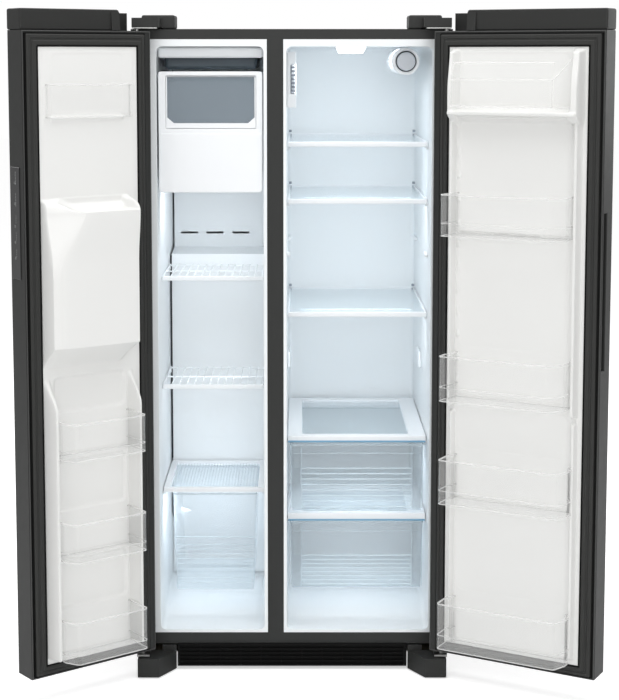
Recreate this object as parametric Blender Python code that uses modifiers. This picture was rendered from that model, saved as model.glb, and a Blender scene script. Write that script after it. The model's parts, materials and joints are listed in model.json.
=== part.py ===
"""A side by side refrigerator with both doors standing open, as separate pieces.

Lengths are in millimetres here and become metres in the meshes. The cabinet frame has X = 0 at the
middle of the cabinet, Y = 0 at its front flange with -Y towards the user, and Z = 0 on the floor.
A door frame has u running from the door's hinge edge to its free edge, v = 0 at the door's inner
face and positive into the cabinet when the door is shut, and Z as in the cabinet.
"""

import math

import bmesh
import bpy
from mathutils import Matrix, Vector

MM = 0.001
GAP = 0.3

# cabinet
WIDTH = 838.0
HALF = WIDTH / 2
TOP = 1718.0
DEPTH = 708.0
SKIN = 1.0
FRAME_BOTTOM = 69.0
FRAME_THICK = 8.0
OPENING_BOTTOM = 100.0
OPENING_TOP = 1692.0
FREEZER_OPENING = (-372.0, -65.0)
FRIDGE_OPENING = (-22.5, 385.0)
FREEZER_CAVITY = (-354.0, -74.0)
FRIDGE_CAVITY = (-14.0, 367.0)
CAVITY_BOTTOM = 127.0
MOUTH_BOTTOM = 108.0
MOUTH_DEPTH = 94.0
MOUTH_RAMP_END = 136.0
CAVITY_TOP = 1673.0
CAVITY_BACK = 640.0
STEP_BACK = 430.0
STEP_TOP = 300.0
LINER = 2.0
CORNER = 14.0
MACHINE_FRONT = 480.0
MACHINE_TOP = 250.0
BASE_LOW = 44.0
BASE_HIGH = 47.0

# doors
GASKET_GAP = 10.0
DOOR_THICK = 74.0
DOOR_BOTTOM = 72.5
DOOR_TOP = 1712.0
CAP_TOP = 1765.0
CAP_STEP_TOP = 1758.0
PIN_IN = 20.0
PIN_OUT = 41.0
PIN_RADIUS = 5.0
PIN_BORE = 5.6
FREEZER_DOOR_WIDTH = 373.0
FRIDGE_DOOR_WIDTH = 460.0
FREEZER_DOOR_OPEN = 142.1
FRIDGE_DOOR_OPEN = 150.7
LINER_LOW = 106.0
LINER_HIGH = 1671.0

# the middle of the whole open object's footprint, which is the origin
ORIGIN_X = 50.05
ORIGIN_Y = 194.1

PARTS = "side_by_side_refrigerator"
CUTTERS = "cutters"

FINISHES = {
    "charcoal_steel": ((0.052, 0.052, 0.052), 0.38, 0.2),
    "charcoal_plastic": ((0.045, 0.045, 0.045), 0.5, 0.0),
    "black_plastic": ((0.02, 0.02, 0.02), 0.55, 0.0),
    "gasket_rubber": ((0.035, 0.035, 0.035), 0.75, 0.0),
    "white_liner": ((0.83, 0.83, 0.81), 0.35, 0.0),
    "cool_liner": ((0.72, 0.8, 0.86), 0.35, 0.0),
    "white_plastic": ((0.88, 0.9, 0.92), 0.35, 0.0),
    "clear_plastic": ((0.78, 0.86, 0.92), 0.1, 0.0),
    "shelf_glass": ((0.75, 0.85, 0.88), 0.05, 0.0),
    "grey_plastic": ((0.42, 0.44, 0.47), 0.45, 0.0),
    "foam": ((0.8, 0.7, 0.45), 0.9, 0.0),
    "zinc_steel": ((0.5, 0.5, 0.5), 0.4, 0.9),
    "aluminium": ((0.75, 0.76, 0.77), 0.35, 1.0),
    "black_glass": ((0.01, 0.01, 0.012), 0.1, 0.0),
    "white_wire": ((0.9, 0.93, 0.95), 0.4, 0.0),
}


def clear_scene():
    for thing in list(bpy.data.objects):
        bpy.data.objects.remove(thing, do_unlink=True)


def new_collection(name):
    made = bpy.data.collections.new(name)
    bpy.context.scene.collection.children.link(made)
    return made


def new_material(name):
    colour, roughness, metallic = FINISHES[name]
    made = bpy.data.materials.get(name)
    if made:
        return made
    made = bpy.data.materials.new(name)
    made.use_nodes = True
    shader = made.node_tree.nodes["Principled BSDF"]
    shader.inputs["Base Color"].default_value = (*colour, 1.0)
    shader.inputs["Roughness"].default_value = roughness
    shader.inputs["Metallic"].default_value = metallic
    return made


def new_empty(name, place, turn=0.0, parent=None):
    made = bpy.data.objects.new(name, None)
    bpy.data.collections[PARTS].objects.link(made)
    made.location = Vector(place) * MM
    made.rotation_euler = (0.0, 0.0, turn)
    made.parent = parent
    return made


def place_mesh(bm, name, parent, finish):
    """The bmesh, in millimetres, as an object. With no finish it is a helper for a Boolean."""
    bmesh.ops.transform(bm, matrix=Matrix.Scale(MM, 4), verts=bm.verts)
    mesh = bpy.data.meshes.new(name)
    bm.to_mesh(mesh)
    bm.free()
    return place_data(mesh, name, parent, finish)


def place_data(data, name, parent, finish):
    made = bpy.data.objects.new(name, data)
    made.parent = parent
    if finish:
        bpy.data.collections[PARTS].objects.link(made)
        data.materials.append(new_material(finish))
    else:
        bpy.data.collections[CUTTERS].objects.link(made)
        made.hide_render = True
        made.display_type = "WIRE"
    return made


def add_box(bm, low, high):
    size = Vector(high) - Vector(low)
    middle = (Vector(high) + Vector(low)) / 2
    found = bmesh.ops.create_cube(bm, size=1.0)["verts"]
    bmesh.ops.scale(bm, vec=size, verts=found)
    bmesh.ops.translate(bm, vec=middle, verts=found)
    return found


def box(name, low, high, parent, finish=None):
    bm = bmesh.new()
    add_box(bm, low, high)
    return place_mesh(bm, name, parent, finish)


def boxes(name, pairs, parent, finish=None):
    bm = bmesh.new()
    for low, high in pairs:
        add_box(bm, low, high)
    return place_mesh(bm, name, parent, finish)


AXES = {"x": Matrix(((0, 0, 1), (1, 0, 0), (0, 1, 0))), "z": Matrix.Identity(3)}


def extruded(bm, outline, axis, low, high):
    """A flat outline swept along an axis: (y, z) points along x, or (x, y) points along z."""
    turn = AXES[axis]
    verts = [bm.verts.new(turn @ Vector((a, b, low))) for a, b in outline]
    face = bm.faces.new(verts)
    swept = bmesh.ops.extrude_face_region(bm, geom=[face])["geom"]
    moved = [v for v in swept if isinstance(v, bmesh.types.BMVert)]
    bmesh.ops.translate(bm, vec=turn @ Vector((0, 0, high - low)), verts=moved)
    bmesh.ops.recalc_face_normals(bm, faces=bm.faces)


def prism(name, outline, axis, low, high, parent, finish=None):
    bm = bmesh.new()
    extruded(bm, outline, axis, low, high)
    return place_mesh(bm, name, parent, finish)


def open_prism(name, outline, axis, low, high, mouth, parent, finish):
    """A prism without the faces whose outward normal is mouth."""
    bm = bmesh.new()
    extruded(bm, outline, axis, low, high)
    bm.normal_update()
    facing = [f for f in bm.faces if f.normal.dot(Vector(mouth)) > 0.99]
    bmesh.ops.delete(bm, geom=facing, context="FACES")
    return place_mesh(bm, name, parent, finish)


def turned(name, profile, place, lie, parent, finish, steps=20):
    """A profile of (radius, height) points, top to bottom, turned about the object's own Z."""
    bm = bmesh.new()
    verts = [bm.verts.new((r, 0, z)) for r, z in profile]
    for first, second in zip(verts, verts[1:]):
        bm.edges.new((first, second))
    made = place_mesh(bm, name, parent, finish)
    made.location = Vector(place) * MM
    made.rotation_euler = lie
    screw = made.modifiers.new("turn", "SCREW")
    screw.steps = steps
    screw.render_steps = steps
    screw.use_merge_vertices = True
    screw.merge_threshold = 0.00001
    return made


def add_rod(bm, radius, start, end, sides=12):
    run = Vector(end) - Vector(start)
    turn = run.to_track_quat("Z", "Y").to_matrix().to_4x4()
    middle = Matrix.Translation((Vector(start) + Vector(end)) / 2)
    bmesh.ops.create_cone(
        bm,
        cap_ends=True,
        segments=sides,
        radius1=radius,
        radius2=radius,
        depth=run.length,
        matrix=middle @ turn,
    )


def rods(name, radius, runs, parent, finish=None, sides=12):
    bm = bmesh.new()
    for start, end in runs:
        add_rod(bm, radius, start, end, sides)
    return place_mesh(bm, name, parent, finish)


def boolean(target, helper, operation):
    made = target.modifiers.new(operation.lower(), "BOOLEAN")
    made.operation = operation
    made.solver = "EXACT"
    made.object = helper
    return target


def cut(target, helper):
    return boolean(target, helper, "DIFFERENCE")


def join(target, helper):
    return boolean(target, helper, "UNION")


def bevel(target, width, segments=2):
    made = target.modifiers.new("bevel", "BEVEL")
    made.width = width * MM
    made.segments = segments
    made.limit_method = "ANGLE"
    made.angle_limit = math.radians(40)
    return target


def solidify(target, thickness, outward=False):
    made = target.modifiers.new("wall", "SOLIDIFY")
    made.thickness = thickness * MM
    made.offset = 1.0 if outward else -1.0
    made.use_even_offset = True
    return target


def rectangle(low, high):
    return [(low[0], low[1]), (high[0], low[1]), (high[0], high[1]), (low[0], high[1])]


def tray(name, low, high, wall, parent, finish, round_by=8.0):
    """An open topped box with rounded edges."""
    outline = rectangle(low, high)
    made = open_prism(name, outline, "z", low[2], high[2], (0, 0, 1), parent, finish)
    bevel(made, round_by, 2)
    return solidify(made, wall)


# ------------------------------------------------------------------ cabinet


def cabinet_wrapper(root):
    outline = rectangle((-HALF, 30.0), (HALF, TOP))
    bm = bmesh.new()
    extruded(bm, [(x, z) for x, z in outline], "z", 0.0, DEPTH)
    bmesh.ops.rotate(bm, cent=(0, 0, 0), matrix=Matrix.Rotation(math.pi / 2, 3, "X"), verts=bm.verts)
    bmesh.ops.translate(bm, vec=(0, DEPTH, 0), verts=bm.verts)
    bm.normal_update()
    gone = [f for f in bm.faces if abs(f.normal.y) > 0.9 or f.normal.z < -0.9]
    bmesh.ops.delete(bm, geom=gone, context="FACES")
    made = place_mesh(bm, "cabinet_wrapper", root, "charcoal_steel")
    return solidify(made, SKIN)


def front_frame(root):
    edge = HALF - SKIN - GAP
    made = box(
        "front_frame",
        (-edge, 0, FRAME_BOTTOM),
        (edge, FRAME_THICK, TOP - SKIN - GAP),
        root,
        "charcoal_steel",
    )
    holes = [
        ((x0, -5, OPENING_BOTTOM), (x1, FRAME_THICK + 5, OPENING_TOP))
        for x0, x1 in (FREEZER_OPENING, FRIDGE_OPENING)
    ]
    return cut(made, boxes("front_frame_holes", holes, root))


def cavity_outline(grow=0.0, front=1.0):
    """The (y, z) side view of a food compartment: a dip for the door bins, then its floor and
    the step over the machine room."""
    mouth = MOUTH_BOTTOM - grow
    low = CAVITY_BOTTOM - grow
    step = STEP_BACK + grow
    ledge = STEP_TOP - grow
    back = CAVITY_BACK + grow
    high = CAVITY_TOP + grow
    floor = [(front, mouth), (MOUTH_DEPTH, mouth), (MOUTH_RAMP_END, low), (step, low)]
    return floor + [(step, ledge), (back, ledge), (back, high), (front, high)]


def cabinet_foam(root):
    edge = HALF - SKIN - GAP
    made = box(
        "cabinet_foam",
        (-edge, FRAME_THICK + GAP, FRAME_BOTTOM),
        (edge, DEPTH - SKIN - GAP - 1.0, TOP - SKIN - GAP),
        root,
        "foam",
    )
    grow = LINER + GAP
    for name, (x0, x1) in (("freezer", FREEZER_CAVITY), ("fridge", FRIDGE_CAVITY)):
        pocket = prism(
            f"{name}_pocket", cavity_outline(grow, -20.0), "x", x0 - grow, x1 + grow, root
        )
        cut(made, pocket)
        reach = CORNER + 5
        nose = [(STEP_BACK, STEP_TOP - reach), (STEP_BACK, STEP_TOP), (STEP_BACK + reach, STEP_TOP)]
        cut(made, prism(f"{name}_nose", nose, "x", x0 - grow, x1 + grow, root))
    room = box(
        "machine_room",
        (-HALF - 5, MACHINE_FRONT, FRAME_BOTTOM - 5),
        (HALF + 5, DEPTH + 5, MACHINE_TOP),
        root,
    )
    return cut(made, room)


def stud_pairs(cavity, levels, depths, reach=7.0, tall=7.0, long=26.0):
    """Moulded shelf rests: low and high corners, on both side walls."""
    found = []
    for level in levels:
        for depth in depths:
            high = level - GAP
            left = (cavity[0] - 1.0, depth, high - tall), (cavity[0] + reach, depth + long, high)
            right = (cavity[1] - reach, depth, high - tall), (cavity[1] + 1.0, depth + long, high)
            found += [left, right]
    return found


def compartment_liner(name, cavity, opening, studs, root):
    made = open_prism(
        name, cavity_outline(), "x", cavity[0], cavity[1], (0, -1, 0), root, "cool_liner"
    )
    bevel(made, CORNER, 3)
    solidify(made, LINER, outward=True)
    lip = box(
        name + "_lip",
        (opening[0] + GAP, 0.7, OPENING_BOTTOM + GAP),
        (opening[1] - GAP, 3.5, OPENING_TOP - GAP),
        root,
    )
    hole = box(
        name + "_mouth",
        (cavity[0] - 0.9, -40, MOUTH_BOTTOM - 0.9),
        (cavity[1] + 0.9, 50, CAVITY_TOP + 0.9),
        root,
    )
    bevel(hole, CORNER + 0.4, 3)
    cut(lip, hole)
    join(made, lip)
    return join(made, boxes(name + "_studs", studs, root))


def rear_sheet(root):
    edge = HALF - SKIN - GAP
    return box(
        "cabinet_back",
        (-edge, DEPTH - SKIN - GAP - 0.4, MACHINE_TOP + 1),
        (edge, DEPTH, TOP - SKIN - GAP),
        root,
        "charcoal_steel",
    )


def machine_cover(root):
    made = box(
        "machine_cover", (-410, 703, 50), (410, 706, MACHINE_TOP - 2), root, "black_plastic"
    )
    slots = []
    for column in range(14):
        x = -330 + column * 48
        slots.append(((x, 695, 105), (x + 30, 715, 113)))
        slots.append(((x, 695, 150), (x + 30, 715, 158)))
        slots.append(((x, 695, 195), (x + 30, 715, 203)))
    return cut(made, boxes("machine_cover_slots", slots, root))


def power_inlet(root):
    profile = [(0.0, 9.0), (5.0, 9.0), (9.0, 8.0), (13.0, 2.0), (13.0, 0.0), (0.0, 0.0)]
    lie = (-math.pi / 2, 0, 0)
    made = turned("power_inlet", profile, (-352, 706.4, 80), lie, root, "black_plastic", 14)
    bore = rods("power_inlet_bore", 3.5, [((-352, 710, 80), (-352, 730, 80))], root)
    return cut(made, bore)


def base_frame(root):
    """The chassis: base plate, side rails, lower door pins, levelling legs and roller ears."""
    made = box("base_frame", (-412, 9, BASE_LOW), (412, 700, BASE_HIGH), root, "zinc_steel")
    solid = []
    ears = []
    pins = []
    legs = []
    feet = []
    for side in (-1, 1):
        rail = sorted((side * 352, side * 400))
        solid.append(((rail[0], 60, 30), (rail[1], 600, BASE_LOW + 1)))
        bracket = sorted((side * 380, side * 412))
        solid.append(((bracket[0], 10, BASE_HIGH - 1), (bracket[1], 15, 58)))
        solid.append(((bracket[0], -60, 54), (bracket[1], 14, 59)))
        ear = sorted((side * 340, side * 346))
        ears.append(((ear[0], 625, 8), (ear[1], 655, BASE_LOW + 1)))
        pin = (side * (HALF - PIN_IN), -PIN_OUT)
        pins.append(((*pin, 57), (*pin, 92)))
        legs.append(((side * 380, 32, 6), (side * 380, 32, BASE_LOW + 1)))
        feet.append(((side * 380, 32, 0), (side * 380, 32, 8)))
    join(made, boxes("base_rails", solid[0::3] + ears, root))
    join(made, boxes("base_uprights", solid[1::3], root))
    join(made, boxes("base_brackets", solid[2::3], root))
    join(made, rods("lower_pins", PIN_RADIUS, pins, root))
    join(made, rods("leg_studs", 6.0, legs, root, sides=10))
    join(made, rods("leg_feet", 17.0, feet, root, sides=14))
    axle = ((-395, 640, 20), (395, 640, 20))
    return cut(made, rods("roller_bore", 4.8, [axle], root))


def rear_rollers(root):
    """Two wheels on one axle; the object's origin lies on the axle."""
    wheels = rods(
        "rear_rollers", 20.0, [((-388, 0, 0), (-366, 0, 0))], root, "black_plastic", sides=20
    )
    other = rods("roller_right", 20.0, [((366, 0, 0), (388, 0, 0))], root, sides=20)
    axle = rods("roller_axle", 3.8, [((-387, 0, 0), (387, 0, 0))], root)
    for helper in (axle, other):
        join(wheels, helper)
    for thing in (wheels, other, axle):
        thing.location = Vector((0, 640, 20)) * MM
    return wheels


def compressor(root):
    profile = [
        (0.0, 172.0), (30.0, 170.0), (56.0, 160.0), (70.0, 138.0), (74.0, 110.0), (74.0, 84.0),
        (80.0, 82.0), (80.0, 76.0), (74.0, 74.0), (74.0, 40.0), (62.0, 14.0), (84.0, 12.0),
        (84.0, 0.0), (0.0, 0.0),
    ]
    return turned("compressor", profile, (215, 592, 47.5), (0, 0, 0), root, "black_plastic", 20)


def tube(name, points, radius, parent, finish):
    curve = bpy.data.curves.new(name, "CURVE")
    curve.dimensions = "3D"
    curve.bevel_depth = radius * MM
    curve.bevel_resolution = 2
    curve.use_fill_caps = True
    spline = curve.splines.new("POLY")
    spline.points.add(len(points) - 1)
    for point, place in zip(spline.points, points):
        point.co = (*(Vector(place) * MM), 1.0)
    return place_data(curve, name, parent, finish)


def condenser_coil(root):
    points = []
    for row in range(7):
        z = 72 + 20 * row
        ends = (-385, -80) if row % 2 == 0 else (-80, -385)
        points += [(ends[0], 600, z), (ends[1], 600, z)]
    return tube("condenser_coil", points, 5.0, root, "black_plastic")


def comb(left, right, low, high, teeth, root_width, fin):
    """An outline of parallel fins on one back bone, in (x, y)."""
    pitch = (right - left - fin) / (teeth - 1)
    points = [(right, high), (left, high)]
    for tooth in range(teeth):
        x = left + tooth * pitch
        points += [(x, low), (x + fin, low)]
        if tooth < teeth - 1:
            points += [(x + fin, high - root_width), (x + pitch, high - root_width)]
    return points


def evaporator_coil(root):
    outline = comb(-330, -98, 452, 520, 14, 14.0, 3.0)
    return prism("evaporator_coil", outline, "z", 420, 960, root, "aluminium")


def fan(name, radius, place, lie, blades, root):
    """A hub with pitched blades; the object's origin is on the shaft."""
    hub = rods(name, 18.0, [((0, 0, -9), (0, 0, 9))], root, "black_plastic", sides=16)
    bm = bmesh.new()
    for index in range(blades):
        found = add_box(bm, (14.0, -9.0, -1.0), (radius, 9.0, 1.0))
        pitch = Matrix.Rotation(math.radians(28), 4, "X")
        spin = Matrix.Rotation(index * math.tau / blades, 4, "Z")
        bmesh.ops.transform(bm, matrix=spin @ pitch, verts=found)
    vanes = place_mesh(bm, name + "_blades", root, None)
    join(hub, vanes)
    for thing in (hub, vanes):
        thing.location = Vector(place) * MM
        thing.rotation_euler = lie
    return hub


def evaporator_cover(root):
    low, high = 139.0, 1658.0
    face, back, shelf, wall = 421.0, 540.0, 1077.0, 3.0
    outline = [
        (face, low), (face + wall, low), (face + wall, shelf), (back + wall, shelf + 8),
        (back + wall, high), (back, high), (back, shelf + 11), (face, shelf + 3),
    ]
    x0, x1 = FREEZER_CAVITY[0] + 5, FREEZER_CAVITY[1] - 5
    made = prism("evaporator_cover", outline, "x", x0, x1, root, "white_plastic")
    slots = [((x, back - 10, 1127), (x + 50, back + 10, 1133)) for x in (-330, -254, -178)]
    returns = [((x, face - 10, 150), (x + 50, face + 10, 158)) for x in (-300, -239, -178)]
    return cut(made, boxes("evaporator_slots", slots + returns, root))


def ice_maker(root):
    made = box("ice_maker", (-338, 90, 1613), (-92, 400, 1660), root, "grey_plastic")
    bevel(made, 8, 1)
    trough = box("ice_maker_trough", (-320, 120, 1600), (-190, 380, 1632), root)
    return cut(made, trough)


def ice_bin(root):
    x0, x1 = -350.0, -77.0
    made = tray("ice_bin", (x0 + 12, 20, 1297), (x1 - 12, 400, 1584), 2.5, root, "white_plastic")
    front = box("ice_bin_front", (x0, 16, 1290), (x1, 24, 1608), root)
    bevel(front, 3, 1)
    join(made, front)
    window = box("ice_bin_window", (-330, 10, 1456), (-95, 21, 1597), root)
    return cut(made, window)


def wire_shelf(name, top, root):
    """A grid of bars: depth wires between a front rail, a middle bar and a back bar."""
    x0, x1 = FREEZER_CAVITY[0] + 3, FREEZER_CAVITY[1] - 3
    made = box(name, (x0, 100, top - 6), (x1, 372, top), root, "white_wire")
    rail = box(name + "_rail", (x0, 98, top - 13), (x1, 104, top - 1), root)
    join(made, rail)
    holes = []
    bays = 10
    pitch = (x1 - x0 - 5) / bays
    for bay in range(bays):
        left = x0 + 5 + bay * pitch
        for near, far in ((109, 232), (237, 367)):
            holes.append(((left, near, top - 20), (left + pitch - 5, far, top + 10)))
    return cut(made, boxes(name + "_holes", holes, root))


def freezer_basket_cover(root):
    x0, x1 = FREEZER_CAVITY[0] + 2, FREEZER_CAVITY[1] - 2
    made = box("freezer_basket_cover", (x0, 98, 461), (x1, 417, 474.5), root, "white_plastic")
    well = box("basket_cover_well", (x0 + 20, 112, 464), (x1 - 20, 404, 490), root)
    return cut(made, well)


def tapered_tray(name, low, high, shrink, wall, root, finish):
    """An open topped drawer whose floor is smaller than its rim by shrink on each side."""
    made = tray(name, low, high, wall, root, finish, 10.0)
    for vert in made.data.vertices:
        if vert.co.z < (low[2] + 1) * MM:
            middle = (low[0] + high[0]) / 2 * MM
            vert.co.x += math.copysign(shrink * MM, middle - vert.co.x)
    return made


def drawer(name, low, high, shrink, root):
    return tapered_tray(name, low, high, shrink, 2.5, root, "clear_plastic")


def glass_shelf(name, top, root):
    """A glass plate in a shallow moulded rim."""
    x0, x1 = FRIDGE_CAVITY[0] + 2, FRIDGE_CAVITY[1] - 2
    made = box(name, (x0, 108, top - 14), (x1, 612, top), root, "shelf_glass")
    under = box(name + "_under", (x0 + 12, 122, top - 20), (x1 - 12, 600, top - 5), root)
    return cut(made, under)


def crisper_cover(name, top, thick, back, root):
    x0, x1 = FRIDGE_CAVITY[0] + 2, FRIDGE_CAVITY[1] - 2
    made = box(name, (x0, 100, top - thick), (x1, back, top), root, "white_plastic")
    well = box(name + "_well", (x0 + 40, 128, top - 5), (x1 - 46, back - 30, top + 9), root)
    return cut(made, well)


def control_housing(root):
    made = box("control_housing", (-13.6, 84, 1511), (12, 200, 1660), root, "white_plastic")
    bevel(made, 4, 2)
    louvres = [((5, 90, 1552 + 9 * n), (20, 150, 1556 + 9 * n)) for n in range(8)]
    return cut(made, boxes("control_louvres", louvres, root))


def lamp_cover(root):
    outline = [(118, 1672.6), (197, 1672.6), (188, 1655), (127, 1655)]
    bm = bmesh.new()
    extruded(bm, outline, "z", 0.0, 130.0)
    bmesh.ops.rotate(bm, cent=(0, 0, 0), matrix=Matrix.Rotation(math.pi / 2, 3, "X"), verts=bm.verts)
    bmesh.ops.translate(bm, vec=(0, 200, 0), verts=bm.verts)
    return place_mesh(bm, "lamp_cover", root, "white_plastic")


FILTER_AXIS = (302.0, 1634.0)


def filter_housing(root):
    x, z = FILTER_AXIS
    made = rods("filter_housing", 36.0, [((x, 70, z), (x, 420, z))], root, "white_plastic", 24)
    bore = rods("filter_bore", 27.5, [((x, 20, z), (x, 330, z))], root, sides=24)
    return cut(made, bore)


def filter_cartridge(root):
    """The cartridge with its cap; the object's origin is on its axis."""
    x, z = FILTER_AXIS
    profile = [
        (0.0, 12.0), (22.0, 12.0), (24.5, 9.0), (24.5, -30.0), (22.0, -32.0), (22.0, -225.0),
        (8.0, -240.0), (0.0, -240.0),
    ]
    lie = (math.pi / 2, 0, 0)
    return turned("filter_cartridge", profile, (x, 70, z), lie, root, "grey_plastic", 24)


def kick_grille(root):
    made = box("kick_grille", (-309, -7, 9), (309, -3, 70.5), root, "black_plastic")
    slots = []
    for row in range(5):
        low = 14 + 11 * row
        for column in range(11):
            left = -302 + 55 * column
            slots.append(((left, -20, low), (left + 52, 10, low + 7)))
    return cut(made, boxes("grille_slots", slots, root))


def foot_cover(name, side, root):
    plan = [(411, -75), (354, -75), (312, -6), (312, -3), (411, -3)]
    bm = bmesh.new()
    extruded(bm, [(side * x, y) for x, y in plan], "z", 2.0, 52.5)
    bm.normal_update()
    gone = [f for f in bm.faces if f.normal.z < -0.9 or f.normal.y > 0.9]
    bmesh.ops.delete(bm, geom=gone, context="FACES")
    made = place_mesh(bm, name, root, "charcoal_plastic")
    solidify(made, 3.0)
    fin = sorted((side * 312, side * 350))
    lift = box(name + "_lift", (fin[0], -8.5, 40), (fin[1], -3, 68), root)
    return join(made, lift)


def top_hinge(name, side, root):
    """The steel plate on the cabinet's top with the pin that enters the door."""
    plate = sorted((side * 347, side * 411))
    made = box(name, (plate[0], -53, TOP + GAP), (plate[1], 84, TOP + 3.5), root, "zinc_steel")
    pin = (side * (HALF - PIN_IN), -PIN_OUT)
    run = [((*pin, DOOR_TOP - 12), (*pin, TOP + 2))]
    return join(made, rods(name + "_pin", PIN_RADIUS, run, root))


def hinge_cover(name, side, root):
    """A hollow cover in two steps: a low arm over the pin and a taller block behind it."""
    low = TOP + GAP
    arm = sorted((side * 341, side * 411.5))
    block = sorted((side * 304, side * 391))
    made = box(name, (arm[0], -54, TOP + 3.8), (arm[1], 20, 1746), root, "charcoal_plastic")
    body = box(name + "_block", (block[0], 2, low), (block[1], 92, 1754), root)
    bevel(body, 5, 2)
    join(made, body)
    inner = sorted((side * 344, side * 388))
    hollow = box(name + "_hollow", (inner[0], 6, low - 5), (inner[1], 88, 1748), root)
    cut(made, hollow)
    seat = box(name + "_seat", (arm[0] - 5, -60, low - 5), (arm[1] + 5, 84.5, TOP + 3.8), root)
    return cut(made, seat)


# -------------------------------------------------------------------- doors


class Door:
    """Turns door coordinates (u, v, z) into coordinates about its hinge pin."""

    def __init__(self, name, side, width, open_by, root):
        self.name = name
        self.side = side
        self.width = width
        place = (side * (HALF - PIN_IN), -PIN_OUT, 0)
        self.axis = new_empty(name + "_axis", place, side * math.radians(open_by), root)

    def point(self, u, v):
        return (self.side * (PIN_IN - u), v + PIN_OUT - GASKET_GAP)

    def corners(self, low, high):
        first = (*self.point(low[0], low[1]), low[2])
        second = (*self.point(high[0], high[1]), high[2])
        return (
            tuple(min(a, b) for a, b in zip(first, second)),
            tuple(max(a, b) for a, b in zip(first, second)),
        )

    def box(self, name, low, high, finish=None):
        return box(name, *self.corners(low, high), self.axis, finish)

    def boxes(self, name, pairs, finish=None):
        return boxes(name, [self.corners(*pair) for pair in pairs], self.axis, finish)

    def plan(self, name, outline, low, high, finish=None):
        points = [self.point(u, v) for u, v in outline]
        return prism(name, points, "z", low, high, self.axis, finish)

    def profile(self, name, outline, u0, u1, finish=None):
        """An outline in (v, z) swept from u0 to u1."""
        shift = PIN_OUT - GASKET_GAP
        points = [(v + shift, z) for v, z in outline]
        ends = sorted((self.side * (PIN_IN - u0), self.side * (PIN_IN - u1)))
        return prism(name, points, "x", *ends, self.axis, finish)

    def bin(self, name, outline, low, high, finish="clear_plastic"):
        points = [self.point(u, v) for u, v in outline]
        made = open_prism(name, points, "z", low, high, (0, 0, 1), self.axis, finish)
        return solidify(made, 2.5)


def door_panel(door):
    w = door.width
    name = door.name + "_panel"
    outline = [(w, 0), (0, 0)]
    for step in range(5):
        angle = step * math.pi / 8
        outline.append((PIN_IN * (1 - math.cos(angle)), PIN_IN * (1 - math.sin(angle)) - DOOR_THICK))
    outline += [(w - 5, -DOOR_THICK), (w, 5 - DOOR_THICK)]
    made = door.plan(name, outline, DOOR_BOTTOM, DOOR_TOP, "charcoal_steel")
    pin = (0.0, 0.0)
    runs = [
        ((*pin, DOOR_BOTTOM - 5), (*pin, DOOR_BOTTOM + 24)),
        ((*pin, DOOR_TOP - 16), (*pin, DOOR_TOP + 5)),
    ]
    return cut(made, rods(name + "_pin_bores", PIN_BORE, runs, door.axis))


def door_cap(door):
    """The moulded top rail: full height away from the hinge, lower and thin beside it."""
    w = door.width
    name = door.name + "_cap"
    low = DOOR_TOP + GAP
    made = door.box(name, (88, -DOOR_THICK, low), (w, -5, CAP_TOP), "charcoal_plastic")
    bevel(made, 5, 2)
    step = door.box(name + "_step", (30, -DOOR_THICK + 1, low), (100, -62, CAP_STEP_TOP))
    join(made, step)
    wedge = [(-6, low + 0.5), (2, low + 0.5), (-3, CAP_TOP - 6), (-10, CAP_TOP - 6)]
    return join(made, door.profile(name + "_block", wedge, 90, 114))


def door_gasket(door):
    w = door.width
    name = door.name + "_gasket"
    low, high = DOOR_BOTTOM + 8, DOOR_TOP - 8
    made = door.box(name, (20.5, 0.3, low), (w - 8, 9.6, high), "gasket_rubber")
    hole = door.box(
        name + "_hole", (45.5, -5, LINER_LOW - 0.5), (w - 41.5, 20, LINER_HIGH + 0.5)
    )
    return cut(made, hole)


def door_base_liner(door):
    w = door.width
    name = door.name + "_liner"
    return door.box(name, (46, 0.3, LINER_LOW), (w - 42, 4.0, LINER_HIGH), "white_liner")


def freezer_door_liner(door):
    made = door_base_liner(door)
    rail_top = [(3, 905), (57, 780), (57, 121), (3, 117)]
    for label, u0, u1 in (("a", 67, 82), ("b", 311, 326)):
        join(made, door.profile(f"freezer_rail_{label}", rail_top, u0, u1))
    bulge = [(3, 1298), (72, 1268), (72, 918), (3, 852)]
    chute = door.profile("freezer_bulge", bulge, 67.5, 325.5)
    corner = [(236, 90), (340, 90), (340, 30), (326, 30)]
    cut(chute, door.plan("bulge_corner", corner, 840, 1310))
    join(made, chute)
    funnel = [(100, 10), (100, 58), (226, 58), (290, 34), (290, 10)]
    return cut(made, door.plan("bulge_funnel", funnel, 1170, 1320))


def fridge_door_liner(door):
    made = door_base_liner(door)
    upper = [(3, 1668), (46, 1640), (50, 1500), (48, 748), (3, 728)]
    lower = [(3, 735), (20, 720), (20, 121), (3, 117)]
    for label, u0, u1 in (("a", 56, 71), ("b", 390, 405)):
        join(made, door.profile(f"fridge_rail_{label}", upper, u0, u1))
        join(made, door.profile(f"fridge_low_rail_{label}", lower, u0 + 0.5, u1 + 0.5))
    shelf = door.profile("dairy_shelf", [(3, 1500), (60, 1500), (60, 1512), (3, 1520)], 60, 401)
    return join(made, shelf)


def dispenser_housing(door):
    """The recess in the outer face where a glass is filled, with its frame standing proud."""
    low, high = 930.0, 1269.0
    pocket = door.box("dispenser_pocket", (86, -90, low + 12), (288, -9, high - 12))
    cut(bpy.data.objects["freezer_door_panel"], pocket)
    made = door.box(
        "dispenser_housing", (87, -DOOR_THICK - 0.4, low + 13), (287, -9.5, high - 13), "black_glass"
    )
    frame = door.box("dispenser_frame", (74, -DOOR_THICK - 6, low), (300, -DOOR_THICK - 0.3, high))
    bevel(frame, 3, 1)
    join(made, frame)
    hollow = door.box("dispenser_hollow", (97, -95, low + 26), (277, -14, high - 70))
    return cut(made, hollow)


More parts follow.
